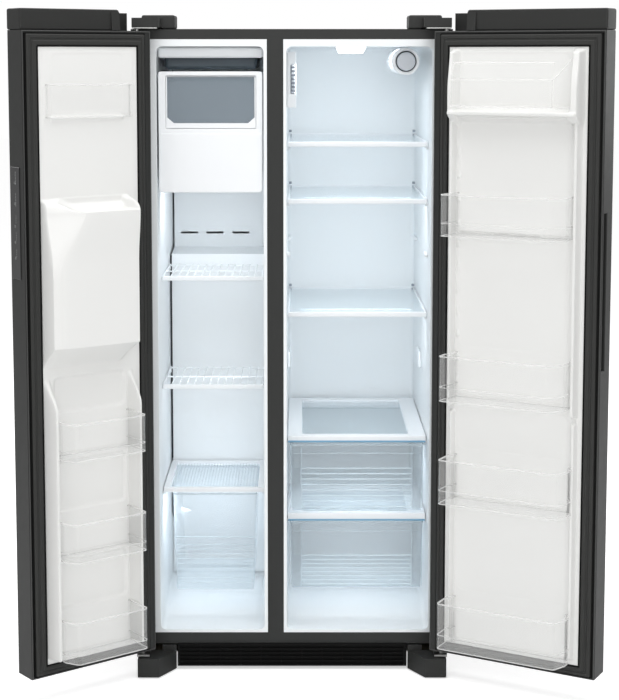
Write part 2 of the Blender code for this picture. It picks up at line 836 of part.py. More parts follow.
def dispenser_paddle(door):
    """The lever that a glass pushes; the object's origin is on its hinge."""
    x, y = door.point(187, -42)
    bm = bmesh.new()
    add_box(bm, (-30, -3, -95), (30, 0, 4))
    made = place_mesh(bm, "dispenser_paddle", door.axis, "grey_plastic")
    made.location = Vector((x, y, 1150)) * MM
    return bevel(made, 1.2, 1)


def control_strip(door):
    """The touch strip let into the door's free edge."""
    w = door.width
    made = door.box("control_strip", (w + 0.3, -64, 1095), (w + 1.8, -18, 1375), "black_glass")
    return bevel(made, 1.0, 1)


def freezer_bins(door):
    """Three deep bins between the rails and a shallow one at the top."""
    outline = [(83.5, 6), (83.5, 90), (90, 98), (291, 98), (309.5, 60), (309.5, 6)]
    for number, (low, high) in enumerate(((642, 738), (382, 483), (121, 229)), start=2):
        door.bin(f"freezer_door_bin_{number}", outline, low, high)
    shallow = [(66.5, 4.5), (66.5, 19), (70, 22), (306, 22), (312, 16), (312, 4.5)]
    door.bin("freezer_door_bin_1", shallow, 1496, 1579)


def fridge_bins(door):
    """Two upper bins between deep rails and two longer lower ones, all hooked over the rails."""
    upper = [(72.5, 6), (72.5, 52), (61, 52), (61, 86), (67, 93), (353, 93), (386, 56), (386, 6)]
    lower = [(73, 6), (73, 26), (61, 26), (61, 86), (67, 93), (384, 93), (400, 52), (400, 26)]
    lower += [(389, 26), (389, 6)]
    spans = ((upper, 1194, 1301), (upper, 769, 887), (lower, 500, 617), (lower, 115, 237))
    for number, (outline, low, high) in enumerate(spans, start=1):
        door.bin(f"fridge_door_bin_{number}", outline, low, high)


def dairy_door(door):
    """The clear flap over the dairy shelf; the object's origin is on its hinge line."""
    x, y = door.point(231, 52)
    bm = bmesh.new()
    outline = [(-1.5, 3), (1.5, 3), (16, -40), (16, -108), (13, -108), (13, -40), (-1.5, 0)]
    extruded(bm, outline, "x", -155, 155)
    made = place_mesh(bm, "dairy_door", door.axis, "clear_plastic")
    made.location = Vector((x, y, 1630)) * MM
    return made


def grip_pocket(door):
    """A finger pocket along the free edge, near the inner face."""
    w = door.width
    pocket = door.box("grip_pocket", (w - 22, -30, 865), (w + 10, -8, 1261))
    return cut(bpy.data.objects[door.name + "_panel"], pocket)


def build_cabinet(root):
    cabinet_wrapper(root)
    front_frame(root)
    cabinet_foam(root)
    freezer_rests = stud_pairs(FREEZER_CAVITY, (1052, 755), (112, 330))
    freezer_rests += stud_pairs(FREEZER_CAVITY, (461,), (112, 380))
    fridge_levels = (1405.5, 1251.5, 944)
    fridge_rests = stud_pairs(FRIDGE_CAVITY, fridge_levels, (130, 560))
    fridge_rests += stud_pairs(FRIDGE_CAVITY, (1118,), (130, 560))
    fridge_rests += stud_pairs(FRIDGE_CAVITY, (600, 381), (130, 380))
    compartment_liner("freezer_liner", FREEZER_CAVITY, FREEZER_OPENING, freezer_rests, root)
    compartment_liner("fridge_liner", FRIDGE_CAVITY, FRIDGE_OPENING, fridge_rests, root)
    rear_sheet(root)
    machine_cover(root)
    power_inlet(root)
    base_frame(root)
    compressor(root)
    condenser_coil(root)
    evaporator_cover(root)
    evaporator_coil(root)
    ice_maker(root)
    wire_shelf("freezer_shelf_upper", 1058, root)
    wire_shelf("freezer_shelf_lower", 761, root)
    freezer_basket_cover(root)
    for number, top in enumerate((1419.5, 1265.5, 958), start=1):
        glass_shelf(f"fridge_shelf_{number}", top, root)
    crisper_cover("crisper_cover_upper", 618, 18, 615, root)
    crisper_cover("crisper_cover_lower", 402, 21, 425, root)
    control_housing(root)
    lamp_cover(root)
    filter_housing(root)
    kick_grille(root)
    for label, side in (("left", -1), ("right", 1)):
        foot_cover(f"{label}_foot_cover", side, root)
        top_hinge(f"{label}_top_hinge", side, root)
        hinge_cover(f"{label}_hinge_cover", side, root)


def build_cabinet_movers(root):
    rear_rollers(root)
    fan("condenser_fan", 66, (-20, 600, 150), (0, math.pi / 2, 0), 5, root)
    fan("evaporator_fan", 50, (-214, 580, 1190), (math.pi / 2, 0, 0), 5, root)
    ice_bin(root)
    drawer("freezer_basket", (-327, 102, 184), (-96, 412, 458), 9, root)
    drawer("upper_crisper", (-6, 104, 408), (359, 590, 594), 6, root)
    drawer("lower_crisper", (-6, 104, 190), (359, 422, 377), 6, root)
    filter_cartridge(root)


def build_freezer_door(root):
    door = Door("freezer_door", -1, FREEZER_DOOR_WIDTH, FREEZER_DOOR_OPEN, root)
    door_panel(door)
    door_cap(door)
    door_gasket(door)
    freezer_door_liner(door)
    dispenser_housing(door)
    dispenser_paddle(door)
    control_strip(door)
    freezer_bins(door)


def build_fridge_door(root):
    door = Door("fridge_door", 1, FRIDGE_DOOR_WIDTH, FRIDGE_DOOR_OPEN, root)
    door_panel(door)
    door_cap(door)
    door_gasket(door)
    fridge_door_liner(door)
    fridge_bins(door)
    dairy_door(door)
    grip_pocket(door)


def main():
    clear_scene()
    new_collection(PARTS)
    new_collection(CUTTERS)
    root = new_empty("cabinet_origin", (-ORIGIN_X, -ORIGIN_Y, 0))
    build_cabinet(root)
    build_cabinet_movers(root)
    build_freezer_door(root)
    build_fridge_door(root)


main()
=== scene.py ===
"""The looks of a side by side refrigerator that stands with both doors open.

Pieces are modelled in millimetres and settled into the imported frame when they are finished. A
cabinet piece has x = 0 at the middle of the cabinet, y = 0 at its front flange and z = 0 on the
floor. A door piece has x running from the door's hinge edge to its free edge, y = 0 at the door's
inner face and positive into the cabinet when the door is shut, and z as in the cabinet.
"""

import json
import math

import bpy
import numpy as np
from mathutils import Matrix, Vector

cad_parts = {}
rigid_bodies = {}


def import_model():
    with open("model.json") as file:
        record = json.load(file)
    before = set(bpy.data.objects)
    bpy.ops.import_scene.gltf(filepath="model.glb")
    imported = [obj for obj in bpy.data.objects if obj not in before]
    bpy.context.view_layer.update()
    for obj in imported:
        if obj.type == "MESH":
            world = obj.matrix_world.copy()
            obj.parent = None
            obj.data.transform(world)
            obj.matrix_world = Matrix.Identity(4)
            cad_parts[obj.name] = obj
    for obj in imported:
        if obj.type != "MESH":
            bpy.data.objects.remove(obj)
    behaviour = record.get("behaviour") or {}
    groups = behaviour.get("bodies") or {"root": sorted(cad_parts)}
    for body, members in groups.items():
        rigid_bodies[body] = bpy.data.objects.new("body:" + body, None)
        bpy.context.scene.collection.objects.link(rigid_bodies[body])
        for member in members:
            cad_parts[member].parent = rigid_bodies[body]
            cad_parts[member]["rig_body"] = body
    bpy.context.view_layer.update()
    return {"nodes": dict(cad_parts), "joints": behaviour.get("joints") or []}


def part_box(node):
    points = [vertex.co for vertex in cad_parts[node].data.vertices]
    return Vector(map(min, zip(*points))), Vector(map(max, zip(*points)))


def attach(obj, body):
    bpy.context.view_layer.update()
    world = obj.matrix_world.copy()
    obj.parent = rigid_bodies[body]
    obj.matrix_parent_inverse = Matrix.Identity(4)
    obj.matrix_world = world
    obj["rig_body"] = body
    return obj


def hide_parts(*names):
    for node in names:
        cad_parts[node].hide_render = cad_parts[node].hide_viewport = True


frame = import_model()

MM = 0.001
# A door's pin stands in from the door's hinge edge and out from the cabinet's front.
PIN_IN = 20.0
PIN_OUT = 41.0
GASKET_GAP = 10.0
# The foot and the head of both door liners.
LINER_LOW = 106.0
LINER_HIGH = 1671.0
FREEZER_DOOR_WIDTH = 373.0
FRIDGE_DOOR_WIDTH = 460.0
# The side walls of each compartment.
FREEZER_CAVITY = (-354.0, -74.0)
FRIDGE_CAVITY = (-14.0, 367.0)
# The foot and the rim of each door bin.
FREEZER_BINS = ((642, 738), (382, 483), (121, 229))
FRIDGE_BINS = ((1194, 1301), (769, 887), (500, 617), (115, 237))

# The camera, in the cabinet's millimetres, and its slight look down in degrees.
CAMERA_PLACE = (18.7, -4424.8, 1647.9)
CAMERA_PITCH = 6.143
CAMERA_LENS = 86.9
CAMERA_SHIFT = (0.015, -0.16)

WHITE = (1, 1, 1, 1)


# ------------------------------------------------------------------- places


def cabinet_space():
    low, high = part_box("front_frame")
    origin = Vector(((low.x + high.x) / 2, low.y, 0))
    return Matrix.Translation(origin) @ Matrix.Scale(MM, 4)


def door_space(joint_name, side):
    joint = next(j for j in frame["joints"] if j["name"] == joint_name)
    pin = Vector((*joint["pos_m"][:2], 0))
    turn = Matrix.Rotation(side * math.radians(-joint["range_deg"][0]), 4, "Z")
    offset = Matrix.Translation(Vector((side * PIN_IN, PIN_OUT - GASKET_GAP, 0)) * MM)
    across = Matrix.Diagonal((-side * MM, MM, MM, 1))
    return Matrix.Translation(pin) @ turn @ offset @ across


CABINET = cabinet_space()
DOOR_SPACES = {
    "freezer_door": door_space("freezer_door_hinge", -1),
    "fridge_door": door_space("fridge_door_hinge", 1),
}
DOOR_SPACES["dairy_door"] = DOOR_SPACES["fridge_door"]


def paint(piece, material):
    piece.data.materials.clear()
    piece.data.materials.append(material)


def settle(piece, material, body, slot, *replaced):
    """Paints a finished piece and moves it from its own millimetres to its place on a CAD body."""
    paint(piece, material)
    space = DOOR_SPACES.get(body, CABINET)
    piece.data.transform(space)
    if space.determinant() < 0:
        piece.data.flip_normals()
    evened(piece)
    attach(piece, body)
    if replaced:
        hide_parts(*replaced)


# ---------------------------------------------------------------- modelling


def deselect():
    if bpy.context.mode != "OBJECT":
        bpy.ops.object.mode_set(mode="OBJECT")
    bpy.ops.object.select_all(action="DESELECT")


def activate(piece):
    deselect()
    piece.select_set(True)
    bpy.context.view_layer.objects.active = piece
    return piece


def added(name):
    """The primitive just added, with its place and size moved into its points."""
    piece = bpy.context.object
    piece.name = name
    bpy.ops.object.transform_apply(location=True, rotation=True, scale=True)
    return piece


def block(name, low, high):
    """A box between two corners, ready to be shaped."""
    deselect()
    middle = (Vector(low) + Vector(high)) / 2
    size = Vector(high) - Vector(low)
    bpy.ops.mesh.primitive_cube_add(size=1, location=middle, scale=size)
    return added(name)


def rod(name, radius, start, end, sides=12):
    deselect()
    run = Vector(end) - Vector(start)
    bpy.ops.mesh.primitive_cylinder_add(
        vertices=sides,
        radius=radius,
        depth=run.length,
        location=(Vector(start) + Vector(end)) / 2,
        rotation=run.to_track_quat("Z", "Y").to_euler(),
    )
    return added(name)


def place_on(axis, a, b, along):
    return {"x": (along, a, b), "y": (a, along, b), "z": (a, b, along)}[axis]


def turned_out(piece):
    """Turns the faces of a mesh outwards."""
    activate(piece)
    bpy.ops.object.mode_set(mode="EDIT")
    bpy.ops.mesh.select_all(action="SELECT")
    bpy.ops.mesh.normals_make_consistent(inside=False)
    bpy.ops.object.mode_set(mode="OBJECT")
    return piece


def plate(name, outline, axis, low, high):
    """An outline, filled and extruded along an axis."""
    deselect()
    bpy.ops.mesh.primitive_circle_add(vertices=len(outline), fill_type="NGON")
    piece = bpy.context.object
    piece.name = name
    for vert, (a, b) in zip(piece.data.vertices, outline):
        vert.co = place_on(axis, a, b, low)
    bpy.ops.object.mode_set(mode="EDIT")
    bpy.ops.mesh.select_all(action="SELECT")
    move = Vector(place_on(axis, 0, 0, high - low))
    bpy.ops.mesh.extrude_region_move(TRANSFORM_OT_translate={"value": move})
    return turned_out(piece)


def pick_faces(piece, test):
    """Leaves the piece in edit mode with the faces that pass selected."""
    activate(piece)
    bpy.ops.object.mode_set(mode="EDIT")
    bpy.ops.mesh.select_mode(type="FACE")
    bpy.ops.mesh.select_all(action="DESELECT")
    bpy.ops.object.mode_set(mode="OBJECT")
    for face in piece.data.polygons:
        face.select = test(face.center, face.normal)
    bpy.ops.object.mode_set(mode="EDIT")


def without_faces(piece, test):
    """Takes away the faces that pass, which leaves a sheet to be walled."""
    pick_faces(piece, test)
    bpy.ops.mesh.delete(type="ONLY_FACE")
    bpy.ops.object.mode_set(mode="OBJECT")
    return piece


def modified(piece, kind, **settings):
    """A piece with one modifier made, set and applied."""
    made = piece.modifiers.new(kind.lower(), kind)
    for name, value in settings.items():
        setattr(made, name, value)
    activate(piece)
    bpy.ops.object.modifier_apply(modifier=made.name)
    return piece


def rounded(piece, width, segments=3, angle=30):
    limit = {"limit_method": "ANGLE", "angle_limit": math.radians(angle)}
    return modified(piece, "BEVEL", width=width, segments=segments, **limit)


def smoothed(piece, angle=35):
    activate(piece)
    bpy.ops.object.shade_smooth_by_angle(angle=math.radians(angle))
    return piece


def evened(piece):
    """Keeps large flat faces flat where rounded corners meet them."""
    return modified(piece, "WEIGHTED_NORMAL", weight=90, keep_sharp=True)


def walled(piece, thickness):
    return modified(piece, "SOLIDIFY", thickness=thickness, offset=-1, use_even_offset=True)


def carved(piece, *cutters):
    """A piece with each cutter's shape taken out of it."""
    for cutter in cutters:
        modified(piece, "BOOLEAN", operation="DIFFERENCE", solver="EXACT", object=cutter)
        bpy.data.objects.remove(cutter, do_unlink=True)
    return piece


def together(name, pieces):
    """Several modelled pieces as one object."""
    activate(pieces[0])
    for piece in pieces:
        piece.select_set(True)
    if len(pieces) > 1:
        bpy.ops.object.join()
    pieces[0].name = name
    return pieces[0]


def arc_corner(corner, before, after, radius, steps):
    """Points that round one corner of an outline."""
    corner, before, after = Vector(corner), Vector(before), Vector(after)
    to_before = (before - corner).normalized()
    to_after = (after - corner).normalized()
    half = to_before.angle(to_after) / 2
    reach = min(
        radius / math.tan(half), (before - corner).length * 0.48, (after - corner).length * 0.48
    )
    start = corner + to_before * reach
    end = corner + to_after * reach
    found = []
    for step in range(steps + 1):
        t = step / steps
        found.append(tuple(start.lerp(corner, t).lerp(corner.lerp(end, t), t)))
    return found


def round_outline(outline, radius, steps=5):
    """An outline with its corners rounded, by one radius or one for each corner."""
    count = len(outline)
    radii = [radius] * count if isinstance(radius, (int, float)) else radius
    found = []
    for index, corner in enumerate(outline):
        if radii[index] <= 0:
            found.append(tuple(corner))
            continue
        after = outline[(index + 1) % count]
        found += arc_corner(corner, outline[index - 1], after, radii[index], steps)
    return found


def rectangle(x0, y0, x1, y1):
    return [(x0, y0), (x1, y0), (x1, y1), (x0, y1)]


def upright(name, corners, radius, near, far):
    """A panel that faces the front, with rounded corners."""
    return plate(name, round_outline(rectangle(*corners), radius), "y", near, far)


def grown(outline, distance):
    """An anticlockwise outline moved outwards by a distance."""
    count = len(outline)
    found = []
    for index, point in enumerate(outline):
        before = (Vector(point) - Vector(outline[index - 1])).normalized()
        after = (Vector(outline[(index + 1) % count]) - Vector(point)).normalized()
        normal = Vector((before.y + after.y, -before.x - after.x))
        if normal.length < 1e-6:
            normal = Vector((before.y, -before.x))
        normal.normalize()
        lean = max(0.4, normal.dot(Vector((before.y, -before.x))))
        found.append(tuple(Vector(point) + normal * distance / lean))
    return found


def tub(name, outline, low, high, wall, shrink=0.0):
    """An open topped moulding; its floor is smaller than its rim by shrink."""
    piece = plate(name, outline, "z", low, high)
    if shrink:
        pick_faces(piece, lambda centre, normal: normal.z < -0.9)
        xs, ys = zip(*outline)
        middle = Vector(((min(xs) + max(xs)) / 2, (min(ys) + max(ys)) / 2, low))
        smaller = (1 - 2 * shrink / (max(xs) - min(xs)), 1 - 2 * shrink / (max(ys) - min(ys)), 1)
        bpy.ops.transform.resize(value=smaller, center_override=middle)
        bpy.ops.object.mode_set(mode="OBJECT")
    without_faces(piece, lambda centre, normal: normal.z > 0.9)
    walled(piece, wall)
    rounded(piece, 0.7, 2, 40)
    return smoothed(piece, 40)


def band(name, outline, low, high, thick):
    """A closed hoop that follows an outline."""
    piece = plate(name, outline, "z", low, high)
    without_faces(piece, lambda centre, normal: abs(normal.z) > 0.9)
    walled(piece, thick)
    rounded(piece, min(thick, high - low) * 0.3, 2)
    return smoothed(piece)


def refined(node, material, width, segments=2, suffix="_moulded"):
    """A copy of a CAD node with its edges rounded, which stands for it."""
    source = frame["nodes"][node]
    piece = bpy.data.objects.new(node + suffix, source.data.copy())
    bpy.context.scene.collection.objects.link(piece)
    activate(piece)
    bpy.ops.mesh.customdata_custom_splitnormals_clear()
    bpy.ops.object.mode_set(mode="EDIT")
    bpy.ops.mesh.select_all(action="SELECT")
    bpy.ops.mesh.remove_doubles(threshold=0.00001)
    bpy.ops.mesh.dissolve_limited(angle_limit=math.radians(0.6))
    turned_out(piece)
    if width:
        rounded(piece, width * MM, segments, 32)
    evened(smoothed(piece, 35))
    paint(piece, material)
    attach(piece, source["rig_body"])
    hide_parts(node)
    return piece


# ---------------------------------------------------------------- materials


def add(tree, kind, place, **values):
    made = tree.nodes.new(kind)
    made.location = place
    for name, value in values.items():
        setattr(made, name, value)
    return made


def put(socket_holder, **values):
    for name, value in values.items():
        socket_holder.inputs[name.replace("_", " ")].default_value = value


def join(source, output, target, socket):
    source.id_data.links.new(source.outputs[output], target.inputs[socket])


def new_group(name, inputs, outputs):
    tree = bpy.data.node_groups.new(name, "ShaderNodeTree")
    for label, kind, value in inputs:
        made = tree.interface.new_socket(label, in_out="INPUT", socket_type=kind)
        if value is not None:
            made.default_value = value
    for label, kind in outputs:
        tree.interface.new_socket(label, in_out="OUTPUT", socket_type=kind)
    return tree


def make_moulded_tone():
    """Slow changes of tone and gloss over a moulding or a painted sheet."""
    tree = new_group(
        "moulded_tone",
        [
            ("Color", "NodeSocketColor", (0.8, 0.8, 0.8, 1)),
            ("Roughness", "NodeSocketFloat", 0.4),
            ("Tone", "NodeSocketFloat", 0.06),
            ("Smudge", "NodeSocketFloat", 0.08),
            ("Scale", "NodeSocketFloat", 4.0),
        ],
        [("Color", "NodeSocketColor"), ("Roughness", "NodeSocketFloat")],
    )
    start = add(tree, "NodeGroupInput", (-900, 0))
    end = add(tree, "NodeGroupOutput", (700, 0))
    where = add(tree, "ShaderNodeTexCoord", (-900, -300))
    broad = add(tree, "ShaderNodeTexNoise", (-600, -100))
    put(broad, Detail=1.0, Roughness=0.5)
    fine = add(tree, "ShaderNodeTexNoise", (-600, -400))
    put(fine, Scale=38.0, Detail=2.0, Roughness=0.6)
    join(where, "Object", broad, "Vector")
    join(where, "Object", fine, "Vector")
    join(start, "Scale", broad, "Scale")
    centre = add(tree, "ShaderNodeMath", (-380, -100), operation="SUBTRACT")
    centre.inputs[1].default_value = 0.5
    join(broad, "Fac", centre, 0)
    shift = add(tree, "ShaderNodeMath", (-200, -60), operation="MULTIPLY_ADD")
    shift.inputs[2].default_value = 1.0
    join(centre, 0, shift, 0)
    join(start, "Tone", shift, 1)
    tone = add(tree, "ShaderNodeVectorMath", (100, 60), operation="SCALE")
    join(start, "Color", tone, 0)
    join(shift, 0, tone, "Scale")
    join(tone, 0, end, "Color")
    fleck = add(tree, "ShaderNodeMath", (-380, -400), operation="SUBTRACT")
    fleck.inputs[1].default_value = 0.5
    join(fine, "Fac", fleck, 0)
    gloss = add(tree, "ShaderNodeMath", (-100, -300), operation="MULTIPLY_ADD")
    join(fleck, 0, gloss, 0)
    join(start, "Smudge", gloss, 1)
    join(start, "Roughness", gloss, 2)
    join(gloss, 0, end, "Roughness")
    return tree


def make_surface_grain():
    """A fine pebbled or orange peel surface, as a normal."""
    tree = new_group(
        "surface_grain",
        [
            ("Scale", "NodeSocketFloat", 900.0),
            ("Strength", "NodeSocketFloat", 0.2),
            ("Depth", "NodeSocketFloat", 0.0002),
        ],
        [("Normal", "NodeSocketVector")],
    )
    start = add(tree, "NodeGroupInput", (-800, 0))
    end = add(tree, "NodeGroupOutput", (400, 0))
    where = add(tree, "ShaderNodeTexCoord", (-800, -200))
    ripple = add(tree, "ShaderNodeTexNoise", (-500, -100))
    put(ripple, Detail=1.0)
    join(where, "Object", ripple, "Vector")
    join(start, "Scale", ripple, "Scale")
    bump = add(tree, "ShaderNodeBump", (100, 0))
    join(ripple, "Fac", bump, "Height")
    join(start, "Strength", bump, "Strength")
    join(start, "Depth", bump, "Distance")
    join(bump, "Normal", end, "Normal")
    return tree


MOULDED_TONE = make_moulded_tone()
SURFACE_GRAIN = make_surface_grain()


def new_material(name):
    made = bpy.data.materials.new(name)
    made.use_nodes = True
    tree = made.node_tree
    return made, tree, tree.nodes["Principled BSDF"]


def dress(tree, shader, colour, roughness, tone, smudge, grain, strength):
    """Joins the shared tone and grain to a material's shader."""
    tint = add(tree, "ShaderNodeGroup", (-600, 300), node_tree=MOULDED_TONE)
    put(tint, Color=(*colour, 1), Roughness=roughness, Tone=tone, Smudge=smudge)
    surface = add(tree, "ShaderNodeGroup", (-600, -300), node_tree=SURFACE_GRAIN)
    put(surface, Scale=grain, Strength=strength)
    join(tint, "Color", shader, "Base Color")
    join(tint, "Roughness", shader, "Roughness")
    join(surface, "Normal", shader, "Normal")


def solid(name, colour, roughness, grain=900.0, strength=0.15, tone=0.06, smudge=0.08, **more):
    """An opaque moulded, painted or plated finish."""
    made, tree, shader = new_material(name)
    dress(tree, shader, colour, roughness, tone, smudge, grain, strength)
    put(shader, **more)
    return made


def clear(name, colour, facing, edge_on, roughness=0.08):
    """A clear moulding: nearly gone face on, and milky where a wall is seen along its length."""
    made, tree, shader = new_material(name)
    dress(tree, shader, colour, roughness, 0.05, 0.04, 60.0, 0.05)
    angle = add(tree, "ShaderNodeLayerWeight", (-600, 0))
    angle.inputs["Blend"].default_value = 0.35
    ramp = add(tree, "ShaderNodeMapRange", (-350, 0))
    ramp.inputs["To Min"].default_value = facing
    ramp.inputs["To Max"].default_value = edge_on
    join(angle, "Facing", ramp, "Value")
    join(ramp, "Result", shader, "Alpha")
    put(shader, IOR=1.9)
    return made


def glowing(name, colour, strength):
    made = solid(name, colour, 0.4, strength=0.05)
    shader = made.node_tree.nodes["Principled BSDF"]
    shader.inputs["Emission Color"].default_value = (*colour, 1)
    shader.inputs["Emission Strength"].default_value = strength
    return made


DULL = 1.36
STEEL_TONE = (0.026, 0.027, 0.026)
STEEL = solid("charcoal_painted_steel", STEEL_TONE, 0.42, 1400, 0.18, 0.12, 0.1, IOR=DULL)
SHEET_TONE = (0.028, 0.029, 0.028)
SHEET = solid("charcoal_cabinet_sheet", SHEET_TONE, 0.48, 700, 0.3, 0.12, 0.1, IOR=DULL)
CHARCOAL = solid("charcoal_moulding", (0.024, 0.0245, 0.0235), 0.5, 1000, 0.3, 0.1, 0.1, IOR=DULL)
# a lighter copy of the charcoal steel, which paints the highlight along the door panels' rolled
# edges
CHARCOAL_HIGHLIGHT = solid("charcoal_hem_highlight", (0.05, 0.051, 0.05), 0.35, 900, 0.1, 0.1, 0.1)
GASKET = solid("gasket_rubber", (0.031, 0.0315, 0.030), 0.62, 1200, 0.2, 0.12, 0.1, IOR=DULL)
BLACK = solid("black_moulding", (0.004, 0.004, 0.004), 0.6, 900, 0.3, 0.15, 0.1, IOR=1.2)
WHITE_LINER = solid("white_door_liner", (0.79, 0.79, 0.775), 0.32, 500, 0.03, 0.02, 0.05)
COOL_LINER = solid("cool_white_liner", (0.86, 0.89, 0.905), 0.3, 500, 0.03, 0.03, 0.05)
BRIGHT = solid("bright_white_moulding", (0.88, 0.9, 0.92), 0.3, 700, 0.04, 0.02, 0.05)
WIRE = solid("coated_wire", (0.9, 0.93, 0.95), 0.35, 1500, 0.08, 0.03, 0.05)
GREY = solid("grey_moulding", (0.30, 0.33, 0.37), 0.45, 900, 0.15, 0.08, 0.08)
PALE_GREY = solid("pale_grey_moulding", (0.55, 0.58, 0.62), 0.4, 900, 0.1, 0.05, 0.08)
ICE_GREY = solid("ice_maker_moulding", (0.10, 0.13, 0.155), 0.45, 800, 0.2, 0.2, 0.1)
ZINC = solid("zinc_plate", (0.45, 0.45, 0.44), 0.38, 300, 0.1, 0.15, 0.15, Metallic=1.0)
TUBE = solid("painted_tube", (0.02, 0.02, 0.02), 0.4, 300, 0.1, 0.15, 0.15)
FIN = solid("evaporator_fins", (0.6, 0.61, 0.62), 0.35, 300, 0.1, 0.1, 0.1, Metallic=1.0)
FOAM = solid("insulation_foam", (0.62, 0.5, 0.28), 0.9, 250, 0.5, 0.25, 0.1)
GLOSS_TONE = (0.006, 0.006, 0.007)
GLOSS = solid("gloss_black_panel", GLOSS_TONE, 0.1, 400, 0.02, 0.1, 0.05, Coat_Weight=0.6)
MARK = solid("pale_marks", (0.32, 0.33, 0.33), 0.5, 900, 0.05, 0.1, 0.05)
# near black: painted shade for narrow gaps between parts
GAP_SHADE = solid("painted_gap_shade", (0.01, 0.014, 0.02), 0.6, 900, 0.05, 0.1, 0.05)
BLUE = solid("blue_edge_strip", (0.17, 0.36, 0.52), 0.3, 900, 0.03, 0.1, 0.05)
CLEAR = clear("clear_bin", (0.95, 0.955, 0.945), 0.022, 0.24)
CLEAR_RIM = clear("clear_bin_rim", (0.95, 0.95, 0.94), 0.36, 0.7)
COOL_CLEAR = clear("clear_drawer", (0.74, 0.85, 0.92), 0.10, 0.45)
COOL_RIM = clear("clear_drawer_rim", (0.8, 0.9, 0.96), 0.42, 0.8)
FROSTED = clear("frosted_load", (0.86, 0.9, 0.92), 0.95, 0.0, 0.5)
GLASS = clear("shelf_glass", (0.68, 0.8, 0.86), 0.12, 0.4, 0.04)
SMOKED = clear("smoked_window", (0.26, 0.32, 0.37), 0.55, 0.8, 0.08)
LAMP = glowing("lamp_lens", (1.0, 1.0, 1.0), 2.2)


# -------------------------------------------------------------- door liners


def ramp_between(value, low, high):
    t = np.clip((value - low) / (high - low), 0, 1)
    return t * t * (3 - 2 * t)


def pad(u, z, u0, u1, z0, z1, radius, soft):
    """One inside a rounded rectangle, nothing outside, with a soft border inwards."""
    cu, cz = (u0 + u1) / 2, (z0 + z1) / 2
    du = np.abs(u - cu) - ((u1 - u0) / 2 - radius)
    dz = np.abs(z - cz) - ((z1 - z0) / 2 - radius)
    outside = np.hypot(np.maximum(du, 0), np.maximum(dz, 0))
    distance = outside + np.minimum(np.maximum(du, dz), 0) - radius
    return ramp_between(-distance, 0, soft)


def spaced(stops, fine, coarse):
    """Values from the first stop to the last, close together near each stop between them."""
    found = [stops[0]]
    while found[-1] < stops[-1]:
        here = found[-1]
        near = min(abs(here - stop) for stop in stops)
        found.append(here + min(coarse, fine + near * 0.12))
    found[-1] = stops[-1]
    return np.array(found)


def relief(name, width_stops, height_stops, shape):
    """A formed sheet: a grid whose points are pushed out by shape(x, z), with a return edge."""
    xs = spaced(width_stops, 1.6, 6.0)
    zs = spaced(height_stops, 1.8, 9.0)
    deselect()
    columns, rows = len(xs) - 1, len(zs) - 1
    bpy.ops.mesh.primitive_grid_add(
        x_subdivisions=columns, y_subdivisions=rows, size=2, rotation=(math.pi / 2, 0, 0)
    )
    piece = added(name)
    count = len(piece.data.vertices)
    where = np.zeros(count * 3)
    piece.data.vertices.foreach_get("co", where)
    where = where.reshape(-1, 3)
    column = np.rint((where[:, 0] + 1) / 2 * columns).astype(int)
    row = np.rint((where[:, 2] + 1) / 2 * rows).astype(int)
    x, z = xs[column], zs[row]
    where = np.column_stack([x, shape(x, z), z])
    piece.data.vertices.foreach_set("co", where.ravel())
    turned_out(piece)
    middle = piece.data.polygons[len(piece.data.polygons) // 2]
    if middle.normal.y < 0:
        piece.data.flip_normals()
    walled(piece, 1.8)
    return smoothed(piece, 60)


# The level of a liner's flat border and the level that its rails and shoulders rise from.
BORDER = 4.5
SHOULDER_FOOT = 6
CHUTE_TOP = 1298
CHUTE_FREE_SIDE = 331


def chute_front(u, z):
    """How far the ice chute's front stands out: flat, with a free side that is cut away."""
    below = ramp_between(1258 - z, 0, 165)
    face = 72 - 9 * ramp_between(1262 - z, 0, 130)
    corner = 238 + 70 * below**0.7
    edge = 26 + 30 * below**0.8
    along = np.clip((u - corner) / (327 - corner), 0, 1)
    slanted = face + (edge - face) * along
    softened = 2.25 * np.exp(-(((u - corner) / 12.0) ** 2))
    return slanted - softened


def freezer_relief(u, z):
    """The inner skin of the freezer door: top recess, ice chute, shoulders and bin bays."""
    v = np.full_like(u, BORDER)
    v += 2.2 * pad(u, z, 50, 326, 112, 1666, 12, 8)
    v -= 5.0 * pad(u, z, 86, 296, 1508, 1656, 18, 10)
    v += 4.0 * pad(u, z, 84, 304, 1484, 1506, 10, 9)
    front = chute_front(u, z)
    hinge = ramp_between(u, 66, 79)
    free = ramp_between(CHUTE_FREE_SIDE - u, 0, 6)
    apron = np.clip((z - (862 + 0.012 * u)) / 58.0, 0, 1)
    apron = np.where(apron < 1, apron**1.25, 1.0)
    narrow = ramp_between(u, 66 + 30 * (1 - apron), 80 + 30 * (1 - apron))
    rise = np.clip((CHUTE_TOP - z) / 39.0, 0, 1)
    bend = np.clip((rise - 0.2) / 0.8, 0, 1)
    crown = np.where(rise < 0.2, rise, 0.2 + 0.8 * np.sqrt(1 - (1 - bend) ** 2))
    chute = (front - BORDER) * apron * crown * np.minimum(hinge, narrow) * free
    rim = 1262 + 34 * ramp_between(u, 236, 330)
    hollow = ramp_between(z, rim, rim + 4.5) * ramp_between(CHUTE_TOP - 1 - z, 0, 4)
    hollow *= ramp_between(u, 82, 98)
    floor = 8 + 12 * ramp_between(rim + 22 - z, 0, 18)
    v = np.maximum(v, BORDER + chute)
    v = v + (np.minimum(floor, v) - v) * hollow
    reach = ramp_between(850 - z, 0, 92)
    rail = np.maximum(
        pad(u, z, 66, 83.5, 118, 860, 9, 6), pad(u, z, 309, 330, 118, 860, 10, 7)
    )
    v = np.maximum(v, SHOULDER_FOOT + 50 * reach * rail)
    for low, high in ((748, 846), (494, 632), (240, 372)):
        v -= 5.0 * pad(u, z, 88, 304, low, high, 16, 10)
    return v


